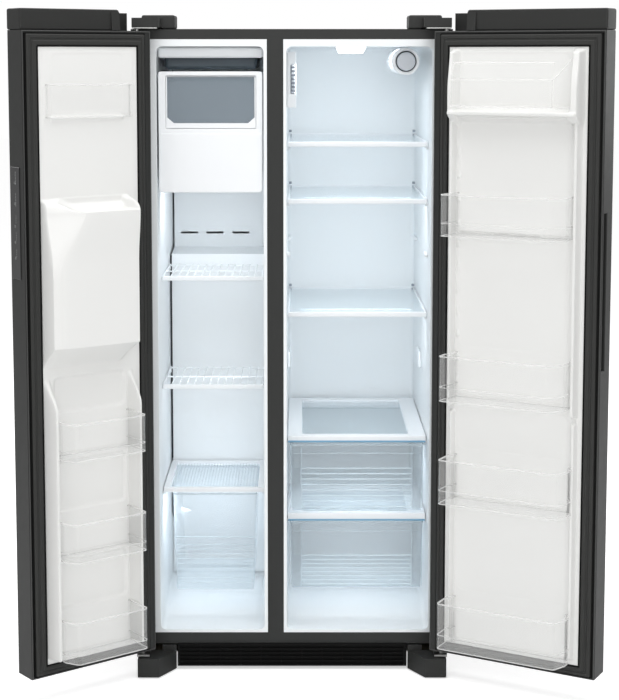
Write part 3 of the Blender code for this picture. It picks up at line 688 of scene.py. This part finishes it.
def fridge_relief(u, z):
    """The inner skin of the fridge door: dairy compartment, long shoulders and bin bays."""
    v = np.full_like(u, BORDER)
    v += 2.0 * pad(u, z, 50, 412, 112, 1666, 12, 8)
    v -= 3.5 * pad(u, z, 78, 378, 900, 1482, 26, 14)
    for low, high in ((632, 752), (254, 486)):
        v -= 4.5 * pad(u, z, 78, 383, low, high, 22, 12)
    upper = np.maximum(
        pad(u, z, 53, 68, 742, 1664, 6, 5), pad(u, z, 386, 406, 742, 1664, 9, 7)
    )
    v = np.maximum(v, SHOULDER_FOOT + 22 * upper)
    fade = ramp_between(z, 1466, 1504)
    wide = 22 * ramp_between(1530 - z, 0, 60) * ramp_between(z, 1474, 1500)
    near = ramp_between(u, 52, 60) * ramp_between(76 + wide - u, 0, 9)
    far = ramp_between(u, 380 - wide, 389 - wide) * ramp_between(411 - u, 0, 8)
    shoulder = np.maximum(near, far) * fade * ramp_between(1668 - z, 0, 12)
    lean = 1 - 0.32 * ramp_between(z, 1560, 1668)
    v = np.maximum(v, SHOULDER_FOOT + 44 * shoulder * lean)
    shelf = pad(u, z, 54, 408, 1494, 1516, 9, 7)
    v = np.maximum(v, SHOULDER_FOOT + 48 * shelf)
    v = np.maximum(v, SHOULDER_FOOT + 24 * pad(u, z, 54, 408, 1480, 1512, 12, 14))
    v -= 4.0 * pad(u, z, 84, 376, 1524, 1658, 24, 12)
    low_rail = np.maximum(
        pad(u, z, 56, 72, 117, 735, 7, 6), pad(u, z, 389, 406, 117, 735, 7, 6)
    )
    v = np.maximum(v, SHOULDER_FOOT + 15 * low_rail)
    for index in range(11):
        centre = 1402 - 58.5 * index
        v += 4.0 * pad(u, z, 70, 81, centre - 8, centre + 8, 5.5, 4.0)
    return v


def freezer_door_skin():
    stops = (46, 56, 64, 72, 84, 92, 240, 300, 311, 328, CHUTE_FREE_SIDE)
    heights = (LINER_LOW, 112, 122, 242, 370, 494, 630, 748, 848, 866, 921)
    heights += (1100, 1262, 1276, 1297, 1506, 1654, LINER_HIGH)
    skin = relief("freezer_door_skin", stops, heights, freezer_relief)
    settle(skin, WHITE_LINER, "freezer_door", "white_liner", "freezer_door_liner")


def fridge_door_skin():
    stops = (46, 53, 60, 68, 75, 81, 98, 378, 388, 400, 408, 418)
    heights = (LINER_LOW, 112, 254, 486, 632, 742, 905)
    heights += (1180, 1318, 1486, 1505, 1522, 1655, LINER_HIGH)
    skin = relief("fridge_door_skin", stops, heights, fridge_relief)
    settle(skin, WHITE_LINER, "fridge_door", "white_liner", "fridge_door_liner")


# --------------------------------------------------------------- door parts


def ring_frame(name, outer, inner, low, high):
    """A flat frame between two rectangles of a door's face."""
    piece = block(name, (outer[0], low, outer[1]), (outer[2], high, outer[3]))
    past = 5
    hole_from, hole_to = (inner[0], low - past, inner[1]), (inner[2], high + past, inner[3])
    carved(piece, block(name + "_hole", hole_from, hole_to))
    return rounded(piece, (high - low) * 0.3, 1)


def around_liner(width):
    """The rectangle just outside a door's liner."""
    return (45.6, LINER_LOW - 0.4, width - 41.6, LINER_HIGH + 0.4)


def gasket(label, width):
    """A frame of rubber: the magnet bead, a groove outside it and the fixing flange."""
    inner = around_liner(width)
    edge = (20.6, 80.6, inner[2] + 31.0, inner[3] + 31.0)
    bands = []
    for near, far, high in ((0.08, 0.52, 9.2), (0.45, 0.68, 6.0), (0.64, 1.0, 7.4)):
        ends = [[a + (b - a) * share for a, b in zip(inner, edge)] for share in (far, near)]
        bands.append(ring_frame(f"{label}_seal_band", ends[0], ends[1], 0.6, high))
    piece = together(f"{label}_door_seal", bands)
    settle(piece, GASKET, f"{label}_door", "gasket_rubber", f"{label}_door_gasket")


def seal_shade_lines(label, width):
    """Black strips that paint the shade in the deep groove inside a door's seal and in the gap
    outside it, and the rolled edge of its panel, painted lighter as a highlight.
    """
    inner = around_liner(width)
    gap = 3.4
    past_gap = (inner[0] - gap, inner[1] - gap, inner[2] + gap, inner[3] + gap)
    # a black strip on the seal's inner lip: painted shade for the deep groove beside the liner
    joint = ring_frame(f"{label}_seal_groove_shade", past_gap, inner, 6.0, 9.5)
    # a black strip at the seal's outer border: painted shade for the gap beside the panel's edge
    outer = (18.6, 78.4, width - 6.0, 1706.0)
    seal_edge_shade = (20.4, 80.2, width - 8.0, 1704.2)
    rim = ring_frame(f"{label}_seal_edge_shade", outer, seal_edge_shade, 0.2, 5.0)
    piece = together(f"{label}_seal_shade_lines", [joint, rim])
    settle(piece, BLACK, f"{label}_door", "gasket_rubber")
    fold = (1.0, 73.5, width - 1.0, 1711.0)
    inside = (4.0, 76.5, width - 4.0, 1708.0)
    # the panel's rolled edge, in a lighter charcoal that paints the highlight along it
    hem = ring_frame(f"{label}_panel_hem_highlight", fold, inside, 0.2, 2.2)
    settle(smoothed(hem), CHARCOAL_HIGHLIGHT, f"{label}_door", "charcoal_steel")


def door_bin(name, outline, radii, low, high, body, beads):
    """A clear bin: a thin tub, its bright rim, a foot line and moulded beads across it."""
    shape = round_outline(outline, radii)
    left = min(x for x, y in outline if y < 7) + 5
    right = max(x for x, y in outline if y < 7) - 5

    def open_back():
        return block(name + "_back_opening", (left, -5, low + 9), (right, 9.6, high + 9))

    shell = tub(name + "_shell", shape, low, high, 2.0)
    carved(shell, open_back())
    smoothed(shell, 40)
    settle(shell, CLEAR, body, "clear_plastic", name)
    hoops = [band(name + "_rim", grown(shape, 0.5), high - 3.2, high, 2.8)]
    hoops.append(band(name + "_foot", grown(shape, 0.1), low - 0.2, low + 1.8, 2.4))
    for height in beads:
        hoops.append(band(name + "_bead", grown(shape, 0.3), height, height + 1.6, 2.4))
    trim = carved(together(name + "_trim", hoops), open_back())
    settle(smoothed(trim), CLEAR_RIM, body, "clear_plastic")


def freezer_door_bins():
    body = "freezer_door"
    deep = [(83.5, 6), (309.5, 6), (309.5, 60), (291, 98), (90, 98), (83.5, 90)]
    radii = [3, 3, 12, 14, 6, 6]
    for number, (low, high) in enumerate(FREEZER_BINS, start=2):
        door_bin(f"freezer_door_bin_{number}", deep, radii, low, high, body, [low + 22])
    flat = [(67.5, 6), (312, 6), (312, 18), (306, 21.5), (71, 21.5), (67.5, 18)]
    flat_radii = [1, 1, 3, 3, 3, 3]
    door_bin("freezer_door_bin_1", flat, flat_radii, 1496, 1579, body, [])


def fridge_door_bins():
    upper = [(72.5, 6), (386, 6), (386, 56), (353, 93), (67, 93), (61, 86), (61, 52), (72.5, 52)]
    upper_radii = [2, 2, 10, 12, 6, 6, 2, 2]
    lower = [(73, 6), (389, 6), (389, 26), (400, 26), (400, 52), (384, 93), (67, 93), (61, 86)]
    lower += [(61, 26), (73, 26)]
    lower_radii = [2, 2, 2, 4, 8, 12, 6, 6, 2, 2]
    for number, (low, high) in enumerate(FRIDGE_BINS, start=1):
        outline, radii = (upper, upper_radii) if number <= 2 else (lower, lower_radii)
        beads = [low + (high - low) * 0.3]
        door_bin(f"fridge_door_bin_{number}", outline, radii, low, high, "fridge_door", beads)


def corner_panel(name, corners, wall):
    """A flat panel between four corners."""
    deselect()
    bpy.ops.mesh.primitive_circle_add(vertices=4, fill_type="NGON")
    piece = bpy.context.object
    piece.name = name
    for vert, place in zip(piece.data.vertices, corners):
        vert.co = place
    walled(piece, wall)
    return rounded(piece, wall * 0.3, 1)


def dairy_flap():
    """The clear cover over the dairy shelf: a sloping top, a front and a slanted end."""
    u0, u1, back = 78, 348, 386
    profile = [(50.5, 1633), (53.5, 1633), (68, 1590), (68, 1522)]
    profile += [(66, 1522), (66, 1589), (50.5, 1630)]
    cover = plate("dairy_flap", profile, "x", u0, u1)
    rounded(cover, 0.6, 2)
    end_corners = [(u1, 67, 1522), (back, 40, 1522), (back, 40, 1640), (u1, 67, 1590)]
    end = corner_panel("flap_end", end_corners, 1.6)
    cover = together("dairy_flap", [cover, end])
    settle(smoothed(cover, 40), CLEAR, "dairy_door", "clear_plastic", "dairy_door")
    runs = [
        (1.2, (u0, 52, 1632), (u1, 52, 1632)),
        (0.8, (u0, 67.4, 1590), (u1, 67.4, 1590)),
        (1.5, (u0, 66.6, 1523), (u1, 66.6, 1523)),
        (0.8, (u0, 66.8, 1522), (u0, 66.8, 1590)),
        (0.9, (u1, 66.8, 1522), (u1, 66.8, 1590)),
        (0.8, (u0, 66.8, 1590), (u0, 52, 1632)),
        (1.0, (u1, 66.8, 1590), (back, 40, 1640)),
        (0.9, (u1, 66.8, 1523), (back, 40, 1523)),
    ]
    edges = [rod("flap_edge", radius, start, end_at, 8) for radius, start, end_at in runs]
    trim = together("dairy_flap_edges", edges)
    settle(smoothed(trim), CLEAR_RIM, "dairy_door", "clear_plastic")


def control_marks():
    """Rows of small bars, dots and rings beside the touch strip."""
    near = FREEZER_DOOR_WIDTH + 1.7
    marks = []
    bars = [(z - 7 * index, 4.5, 1.6) for z in (1364, 1310) for index in range(5)]
    dots = [(z - 5.5 * index, 2.5, 1.4) for z in (1255, 1212, 1170) for index in range(4)]
    for top, tall, wide in bars + dots:
        marks.append(block("mark", (near, -38, top - tall), (near + 0.4, wide - 38, top)))
    for z in (1336, 1284, 1228, 1188, 1148):
        ring = rod("ring", 3.2, (near, -42, z), (near + 0.3, -42, z), 16)
        hole = rod("ring_hole", 2.3, (near - 0.7, -42, z), (near + 1.3, -42, z), 16)
        marks.append(carved(ring, hole))
    piece = together("control_marks", marks)
    settle(piece, MARK, "freezer_door", "grey_plastic")


# ---------------------------------------------------------- inside the cabinet


def wire_rack(name, top):
    """Wires from front to back on thicker ones, behind a moulded front bar."""
    x0, x1 = FREEZER_CAVITY[0] + 3, FREEZER_CAVITY[1] - 3
    front, back = 101, 372
    wires = []
    bays = 13
    for index in range(bays + 1):
        x = x0 + 3 + (x1 - x0 - 6) * index / bays
        wires.append(rod("wire", 1.5, (x, front, top - 1.6), (x, back, top - 1.6), 8))
    low = top - 4.8
    for y in (235, 370):
        wires.append(rod("cross_wire", 2.2, (x0, y, low), (x1, y, low), 10))
    bar = block("front_bar", (x0, 97, top - 13), (x1, 104, top - 0.5))
    wires.append(rounded(bar, 2.4, 3))
    for x in (x0 + 1, x1 - 1):
        wires.append(rod("side_wire", 2.2, (x, front, low), (x, back, low), 10))
    rack = smoothed(together(name + "_rack", wires))
    settle(rack, WIRE, "cabinet", "white_wire", name)


def shelf(name, top):
    """A pane held in a slim moulded rim with a deeper bar along its front."""
    x0, x1 = FRIDGE_CAVITY[0] + 2, FRIDGE_CAVITY[1] - 2
    pane = block(name + "_pane", (x0 + 3, 112, top - 5.5), (x1 - 3, 609, top - 1.5))
    rounded(pane, 0.8, 2)
    settle(smoothed(pane), GLASS, "cabinet", "shelf_glass", name)
    front = block(name + "_front", (x0, 108, top - 14), (x1, 118, top))
    rounded(front, 3.5, 3)
    rear = block(name + "_rear", (x0, 604, top - 9), (x1, 611, top))
    sides = [
        block(name + "_left", (x0, 116, top - 8), (x0 + 5, 606, top)),
        block(name + "_right", (x1 - 5, 116, top - 8), (x1, 606, top)),
    ]
    for bar in (rear, *sides):
        rounded(bar, 1.5, 2)
    rim = together(name + "_rim", [front, rear, *sides])
    settle(smoothed(rim), BRIGHT, "cabinet", "white_plastic")
    clips = []
    for x in (x0 + 1, x1 - 9):
        for drop in (0, 12):
            clip = block(name + "_clip", (x, 592, top + 4 - drop), (x + 8, 606, top + 11 - drop))
            clips.append(rounded(clip, 1.2, 2))
    clips = smoothed(together(name + "_clips", clips))
    settle(clips, GREY, "cabinet", "grey_plastic")


def crisper_lid(name, top, thick, back):
    """The frame over a crisper drawer, its glass and the thin tinted strip along its front."""
    x0, x1 = FRIDGE_CAVITY[0] + 2, FRIDGE_CAVITY[1] - 2
    lid = block(name + "_frame", (x0, 101, top - thick), (x1, back, top))
    hole = round_outline(rectangle(x0 + 40, 128, x1 - 46, back - 30), 8)
    carved(lid, plate(name + "_opening", hole, "z", top - thick - 5, top + 5))
    rounded(lid, 2.2, 3)
    settle(smoothed(lid), BRIGHT, "cabinet", "white_plastic", name)
    pane = block(name + "_pane", (x0 + 37, 125, top - 8), (x1 - 43, back - 27, top - 4))
    settle(smoothed(rounded(pane, 0.8, 2)), GLASS, "cabinet", "shelf_glass")
    strip = block(name + "_strip", (x0 + 1, 98.5, top - thick), (x1 - 1, 101.4, top - thick + 5))
    settle(smoothed(rounded(strip, 1.2, 2)), BLUE, "cabinet", "white_plastic")


def crisper(name, y_back, low, high, ribs_to):
    """A clear drawer with upright posts at its front corners and moulded lines across it."""
    x0, x1 = -6.0, 359.0
    outline = round_outline(rectangle(x0, 104, x1, y_back), [8, 8, 10, 10])
    shell = tub(name + "_shell", outline, low, high, 2.2, 5.0)
    settle(shell, COOL_CLEAR, name, "clear_plastic", name)
    parts = [band(name + "_rim", grown(outline, 0.4), high - 4, high, 3.5)]
    for x in (x0 + 2, x0 + 30, x1 - 32, x1 - 4):
        post = block(name + "_post", (x, 103.4, low + 6), (x + 1.8, 106.4, high - 6))
        parts.append(rounded(post, 0.5, 1))
    for index in range(8):
        z = low + 12 + (ribs_to - low) * index / 8
        parts.append(rod(name + "_line", 1.7, (x0 + 34, 104.8, z), (x1 - 34, 104.8, z), 8))
    for start, end in ((x0 + 4, x0 + 31), (x1 - 31, x1 - 4)):
        panel = block(name + "_post_panel", (start, 105.5, low + 8), (end, 106.6, high - 8))
        smoothed(rounded(panel, 0.4, 1))
        settle(panel, COOL_CLEAR, name, "clear_plastic")
    line = high - 26
    parts.append(block(name + "_top_line", (x0 + 10, 103.6, line), (x1 - 10, 105, line + 1.6)))
    parts.append(block(name + "_foot_line", (x0 + 8, 104, low + 2), (x1 - 8, 107, low + 4)))
    trim = together(name + "_trim", parts)
    settle(smoothed(trim), COOL_RIM, name, "clear_plastic")


def basket():
    """The deep clear bin at the bottom of the freezer."""
    outline = round_outline(rectangle(-327, 102, -96, 412), [9, 9, 12, 12])
    shell = tub("freezer_basket_shell", outline, 184, 458, 2.2, 9.0)
    settle(shell, COOL_CLEAR, "freezer_basket", "clear_plastic", "freezer_basket")
    parts = [band("basket_rim", grown(outline, 0.4), 453, 458, 4.0)]
    parts.append(block("basket_line", (-323, 104.8, 333), (-100, 107.2, 335)))
    for index in range(9):
        z = 204 + 13.5 * index
        lean = 9.0 * (458 - z) / 274
        start, end = (-322 + lean, 102.6 + lean, z), (-101 - lean, 102.6 + lean, z)
        parts.append(rod("basket_rib", 1.1, start, end, 8))
    trim = together("freezer_basket_trim", parts)
    settle(smoothed(trim), COOL_RIM, "freezer_basket", "clear_plastic")


def basket_lid():
    """The frame over the basket and the ribbed clear sheet that lies in it."""
    x0, x1 = FREEZER_CAVITY[0] + 2, FREEZER_CAVITY[1] - 2
    node = "freezer_basket_cover"
    rim = block("basket_lid_frame", (x0, 98, 461), (x1, 417, 474.5))
    carved(rim, block("basket_lid_opening", (x0 + 18, 110, 455), (x1 - 18, 404, 480)))
    smoothed(rounded(rim, 2.4, 3))
    settle(rim, BRIGHT, "cabinet", "white_plastic", node)
    ribs = [block("basket_lid_sheet", (x0 + 17, 109, 464), (x1 - 17, 405, 466))]
    count = 28
    for index in range(count):
        x = x0 + 24 + (x1 - x0 - 50) * index / (count - 1)
        ribs.append(block("lid_rib", (x, 112, 465.5), (x + 2.2, 402, 467.4)))
    insert = smoothed(together("basket_lid_insert", ribs))
    settle(insert, COOL_CLEAR, "cabinet", "clear_plastic")


def ice_bin():
    """The tray and its front: a panel with a smoked window, a lower step and a load of ice."""
    x0, x1 = -350.0, -77.0
    foot, head = 1290, 1608
    front = upright("ice_bin_front", (x0, foot, x1, head), [12, 12, 8, 8], 15, 24)
    carved(front, upright("ice_bin_window_hole", (-331, 1458, -94, 1597), 4, 5, 40))
    rounded(front, 2.0, 3)
    lower = upright("ice_bin_lower", (x0 + 1, foot + 1, x1 - 1, 1446), [10, 10, 3, 3], 13.5, 19)
    rounded(lower, 4.0, 4)
    tray_outline = round_outline(rectangle(x0 + 12, 24.5, x1 - 12, 400), 10)
    tray = tub("ice_bin_tray", tray_outline, foot + 7, head - 28, 2.4, 3.0)
    panel = smoothed(together("ice_bin_panel", [front, lower]))
    settle(panel, BRIGHT, "ice_bin", "white_plastic", "ice_bin")
    settle(tray, BRIGHT, "ice_bin", "white_plastic")
    shape = [(-327, 1488), (-310, 1473), (-115, 1473), (-98, 1488), (-98, 1594), (-327, 1594)]
    pane = smoothed(rounded(plate("ice_bin_pane", shape, "y", 19, 21), 0.4, 1))
    settle(pane, SMOKED, "ice_bin", "white_plastic")
    surround = plate("ice_bin_surround", rectangle(-330, 1459.5, -95, 1595), "y", 17.6, 23)
    carved(surround, plate("surround_hole", shape, "y", 10, 30))
    settle(surround, BRIGHT, "ice_bin", "grey_plastic")
    ice = smoothed(rounded(block("ice_bin_load", (-330, 60, 1486), (-222, 200, 1580)), 36, 8))
    settle(ice, FROSTED, "ice_bin", "white_plastic")


def control_box():
    """The temperature control on the wall: two pale ends with grey louvres between them."""
    shell = block("control_box_shell", (-13.8, 84, 1511), (11, 200, 1660))
    hollow = block("control_hollow", (-4, 70, 1548), (20, 186, 1626))
    carved(shell, hollow)
    rounded(shell, 3, 3)
    settle(smoothed(shell), BRIGHT, "cabinet", "white_plastic", "control_housing")
    slats = [block("control_back", (-5, 96, 1549), (-1, 186, 1625))]
    for index in range(7):
        z = 1553 + 10.5 * index
        slat = block("control_slat", (-2, 90, z), (8.5, 184, z + 4.5))
        slats.append(rounded(slat, 1.2, 2))
    louvres = smoothed(together("control_slats", slats))
    settle(louvres, GREY, "cabinet", "grey_plastic")


def lamp():
    """The lens of the lamp in the ceiling of the fridge."""
    outline = [(118, 1672.6), (127, 1655), (188, 1655), (197, 1672.6)]
    lens = plate("ceiling_lamp_lens", outline, "y", 70, 200)
    rounded(lens, 2.5, 3)
    settle(smoothed(lens), LAMP, "cabinet", "white_plastic", "lamp_cover")


def water_filter():
    """The filter's round housing and cartridge, with a near-black ring that paints the shade in
    the gap between them.
    """
    refined("filter_housing", BRIGHT, 4.0, 4)
    refined("filter_cartridge", PALE_GREY, 1.2, 2)
    # a near-black ring sunk in the gap: painted shade
    ring = rod("filter_gap_shade_ring", 27.2, (302, 71.5, 1634), (302, 76, 1634), 48)
    hole = rod("ring_core", 24.9, (302, 60, 1634), (302, 90, 1634), 48)
    carved(ring, hole)
    settle(smoothed(ring), GAP_SHADE, "cabinet", "grey_plastic")


def wall_rests():
    """Small moulded rests for the middle shelf, and the ledges of the empty shelf place."""
    rests = []
    places = (("shelf_rest", 9, 3, 1108, 1118, ((110, 150), (520, 600))),)
    places += (("shelf_rest_low", 8, 3.5, 764, 810, ((330, 420),)),)
    for name, reach, radius, low, high, spans in places:
        for wall, inward in ((FRIDGE_CAVITY[0], 1), (FRIDGE_CAVITY[1], -1)):
            x0, x1 = sorted((wall, wall + inward * reach))
            for y0, y1 in spans:
                rests.append(rounded(block(name, (x0, y0, low), (x1, y1, high)), radius, 3))
    piece = smoothed(together("fridge_wall_rests", rests))
    settle(piece, BRIGHT, "cabinet", "white_plastic")


def kick_shade_sheet():
    """A black sheet behind the slots of the kick grille, which paints the shade of the dark space
    under the cabinet.
    """
    # painted shade: the space under the cabinet seen through the slots
    sheet = block("kick_shade_sheet", (-306, -2.4, 11), (306, -1.0, 69))
    pick_faces(sheet, lambda centre, normal: normal.y < -0.9)
    bpy.ops.mesh.inset(thickness=4, depth=-0.6)
    bpy.ops.object.mode_set(mode="OBJECT")
    settle(sheet, BLACK, "cabinet", "black_plastic")
    refined("kick_grille", BLACK, 0.5, 1)


def screws(name, places, radius):
    """Pan head screws with a cross recess, their heads facing back."""
    heads = []
    arm, half_slot = radius * 0.6, 0.5
    for x, y, z in places:
        head = rod(name + "_head", radius, (x, y, z), (x, y + 1.6, z), 16)
        for across, up in ((arm, half_slot), (half_slot, arm)):
            low, high = (x - across, y + 1.0, z - up), (x + across, y + 3, z + up)
            carved(head, block("screw_slot", low, high))
        heads.append(head)
    piece = smoothed(together(name, heads))
    settle(piece, ZINC, "cabinet", "zinc_steel")


def plain_nodes():
    """CAD nodes whose shape is right: most are copied with rounded edges, the two liners are
    copied smoothed without rounding, and the last few are only painted.
    """
    for node, material, width in (
        ("cabinet_wrapper", SHEET, 0.3),
        ("front_frame", STEEL, 1.2),
        ("freezer_door_panel", STEEL, 2.2),
        ("fridge_door_panel", STEEL, 2.2),
        ("freezer_door_cap", CHARCOAL, 1.6),
        ("fridge_door_cap", CHARCOAL, 1.6),
        ("left_hinge_cover", CHARCOAL, 2.0),
        ("right_hinge_cover", CHARCOAL, 2.0),
        ("left_foot_cover", CHARCOAL, 1.2),
        ("right_foot_cover", CHARCOAL, 1.2),
        ("left_top_hinge", ZINC, 0.6),
        ("right_top_hinge", ZINC, 0.6),
        ("base_frame", ZINC, 0.5),
        ("cabinet_back", SHEET, 0.2),
        ("machine_cover", BLACK, 0.5),
        ("rear_rollers", BLACK, 1.2),
        ("evaporator_cover", COOL_LINER, 0.5),
        ("ice_maker", ICE_GREY, 2.0),
        ("control_strip", GLOSS, 0.2),
        ("dispenser_housing", GLOSS, 1.2),
        ("dispenser_paddle", GREY, 1.0),
        ("power_inlet", BLACK, 0.6),
        ("compressor", BLACK, 1.0),
        ("freezer_liner", COOL_LINER, 0.0),
        ("fridge_liner", COOL_LINER, 0.0),
    ):
        refined(node, material, width)
    for node, material in (
        ("cabinet_foam", FOAM),
        ("condenser_coil", TUBE),
        ("condenser_fan", BLACK),
        ("evaporator_fan", GREY),
        ("evaporator_coil", FIN),
    ):
        paint(frame["nodes"][node], material)


def freezer_details():
    """The step in the ceiling before the ice maker, and a near-black strip beside the rear cover
    that paints the shade in the gap there.
    """
    x0, x1 = FREEZER_CAVITY
    step = block("freezer_ceiling_step", (x0 + 1.5, 44, 1643), (x1 - 1.5, 88, 1671.5))
    rounded(step, 7.0, 4)
    settle(smoothed(step), BRIGHT, "cabinet", "white_plastic")
    # a near-black strip in the corner gap: painted shade
    gap_strip = block("freezer_corner_gap_shade", (x0 + 1.5, 418.6, 480), (x0 + 5.4, 420.6, 1076))
    settle(gap_strip, GAP_SHADE, "cabinet", "grey_plastic")


# -------------------------------------------------------- stage, light, view


def stage():
    """A pale floor that looks a little lighter to the camera, to meet the plain background."""
    deselect()
    place = (0, 0, -0.001)
    bpy.ops.mesh.primitive_circle_add(vertices=96, radius=30, fill_type="NGON", location=place)
    floor = bpy.context.object
    floor.name = "studio_floor"
    pale = solid("studio_floor_paint", (0.92, 0.92, 0.92), 0.75, 20, 0.02, 0.01, 0.02)
    tree = pale.node_tree
    shader = tree.nodes["Principled BSDF"]
    put(shader, Emission_Color=WHITE)
    ray = add(tree, "ShaderNodeLightPath", (-600, -500))
    lift = add(tree, "ShaderNodeMath", (-300, -500), operation="MULTIPLY")
    lift.inputs[1].default_value = 0.5
    join(ray, "Is Camera Ray", lift, 0)
    join(lift, 0, shader, "Emission Strength")
    paint(floor, pale)


def area_light(name, place, target, size, power, colour=(1, 1, 1)):
    data = bpy.data.lights.new(name, "AREA")
    data.shape = "RECTANGLE"
    data.size, data.size_y = size
    data.energy = power
    data.color = colour
    light = bpy.data.objects.new(name, data)
    bpy.context.scene.collection.objects.link(light)
    light.location = place
    aim = Vector(target) - Vector(place)
    light.rotation_euler = aim.to_track_quat("-Z", "Y").to_euler()
    light.visible_camera = False
    return light


def inner_light(name, place, target, size, power):
    """A soft cool light inside a compartment that leaves no reflection of itself."""
    light = area_light(name, place, target, size, power, (0.9, 0.95, 1.0))
    light.visible_glossy = False


def lights():
    world = bpy.data.worlds.new("studio")
    bpy.context.scene.world = world
    world.use_nodes = True
    tree = world.node_tree
    sky = tree.nodes["Background"]
    put(sky, Color=WHITE, Strength=0.52)
    page = add(tree, "ShaderNodeBackground", (0, -200))
    put(page, Color=WHITE, Strength=1.0)
    ray = add(tree, "ShaderNodeLightPath", (0, 300))
    choose = add(tree, "ShaderNodeMixShader", (300, 100))
    join(ray, "Is Camera Ray", choose, 0)
    join(sky, 0, choose, 1)
    join(page, 0, choose, 2)
    join(choose, 0, tree.nodes["World Output"], "Surface")
    area_light("overhead", (0, -0.8, 4.6), (0, 0, 0), (4.5, 4.5), 150)
    for name, place, size, power in (
        ("key", (-1.3, -5.2, 2.9), 2.4, 36),
        ("fill", (1.5, -5.2, 2.4), 2.6, 34),
        ("back_left", (-3.0, 4.0, 3.0), 2.5, 60),
        ("back_right", (3.5, 3.5, 2.4), 2.5, 45),
    ):
        area_light(name, place, (0, 0, 0.9), (size, size), power)
    compartment_lights()


def compartment_lights():
    """Soft lights near the front of each compartment that shine back and down."""
    near, drop, lean = 150, 180, 70
    for name, x, z, power in (
        ("fridge_1", 176, 1648, 0.8),
        ("fridge_2", 176, 1400, 0.28),
        ("fridge_3", 176, 1248, 0.44),
        ("fridge_4", 176, 940, 0.36),
        ("crisper_1", 176, 570, 0.62),
        ("crisper_2", 176, 358, 0.43),
        ("freezer_1", -214, 1284, 0.66),
        ("freezer_2", -214, 742, 0.13),
        ("freezer_3", -214, 436, 0.68),
    ):
        in_fridge = x > 0
        width = 0.3 if in_fridge else 0.2
        far = near + (130 if "crisper" in name else 208)
        aim = Vector((x if in_fridge else x - lean, far, z - drop))
        place = CABINET @ Vector((x, near, z))
        inner_light(name, place, CABINET @ aim, (width, 0.07), power)


def camera():
    data = bpy.data.cameras.new("camera")
    data.sensor_width = 36
    data.lens = CAMERA_LENS
    data.shift_x, data.shift_y = CAMERA_SHIFT
    view = bpy.data.objects.new("camera", data)
    bpy.context.scene.collection.objects.link(view)
    view.location = CABINET @ Vector(CAMERA_PLACE)
    view.rotation_euler = (math.radians(90 - CAMERA_PITCH), 0, 0)
    bpy.context.scene.camera = view
    bpy.context.scene.view_settings.view_transform = "Standard"


def main():
    plain_nodes()
    freezer_door_skin()
    fridge_door_skin()
    for make in (gasket, seal_shade_lines):
        make("freezer", FREEZER_DOOR_WIDTH)
        make("fridge", FRIDGE_DOOR_WIDTH)
    freezer_door_bins()
    fridge_door_bins()
    dairy_flap()
    control_marks()
    wire_rack("freezer_shelf_upper", 1058)
    wire_rack("freezer_shelf_lower", 761)
    basket_lid()
    basket()
    ice_bin()
    for number, top in enumerate((1419.5, 1265.5, 958), start=1):
        shelf(f"fridge_shelf_{number}", top)
    crisper_lid("crisper_cover_upper", 618, 18, 615)
    crisper_lid("crisper_cover_lower", 402, 21, 425)
    crisper("upper_crisper", 590, 408, 594, 530)
    crisper("lower_crisper", 422, 190, 377, 282)
    control_box()
    lamp()
    water_filter()
    wall_rests()
    kick_shade_sheet()
    freezer_details()
    back_y = (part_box("cabinet_back")[1].y - CABINET.translation.y) / MM
    rows = [(x, back_y, z) for x in (-405, -135, 135, 405) for z in (275, 1700)]
    screws("rear_screws", rows, 4.0)
    stage()
    lights()
    camera()


main()
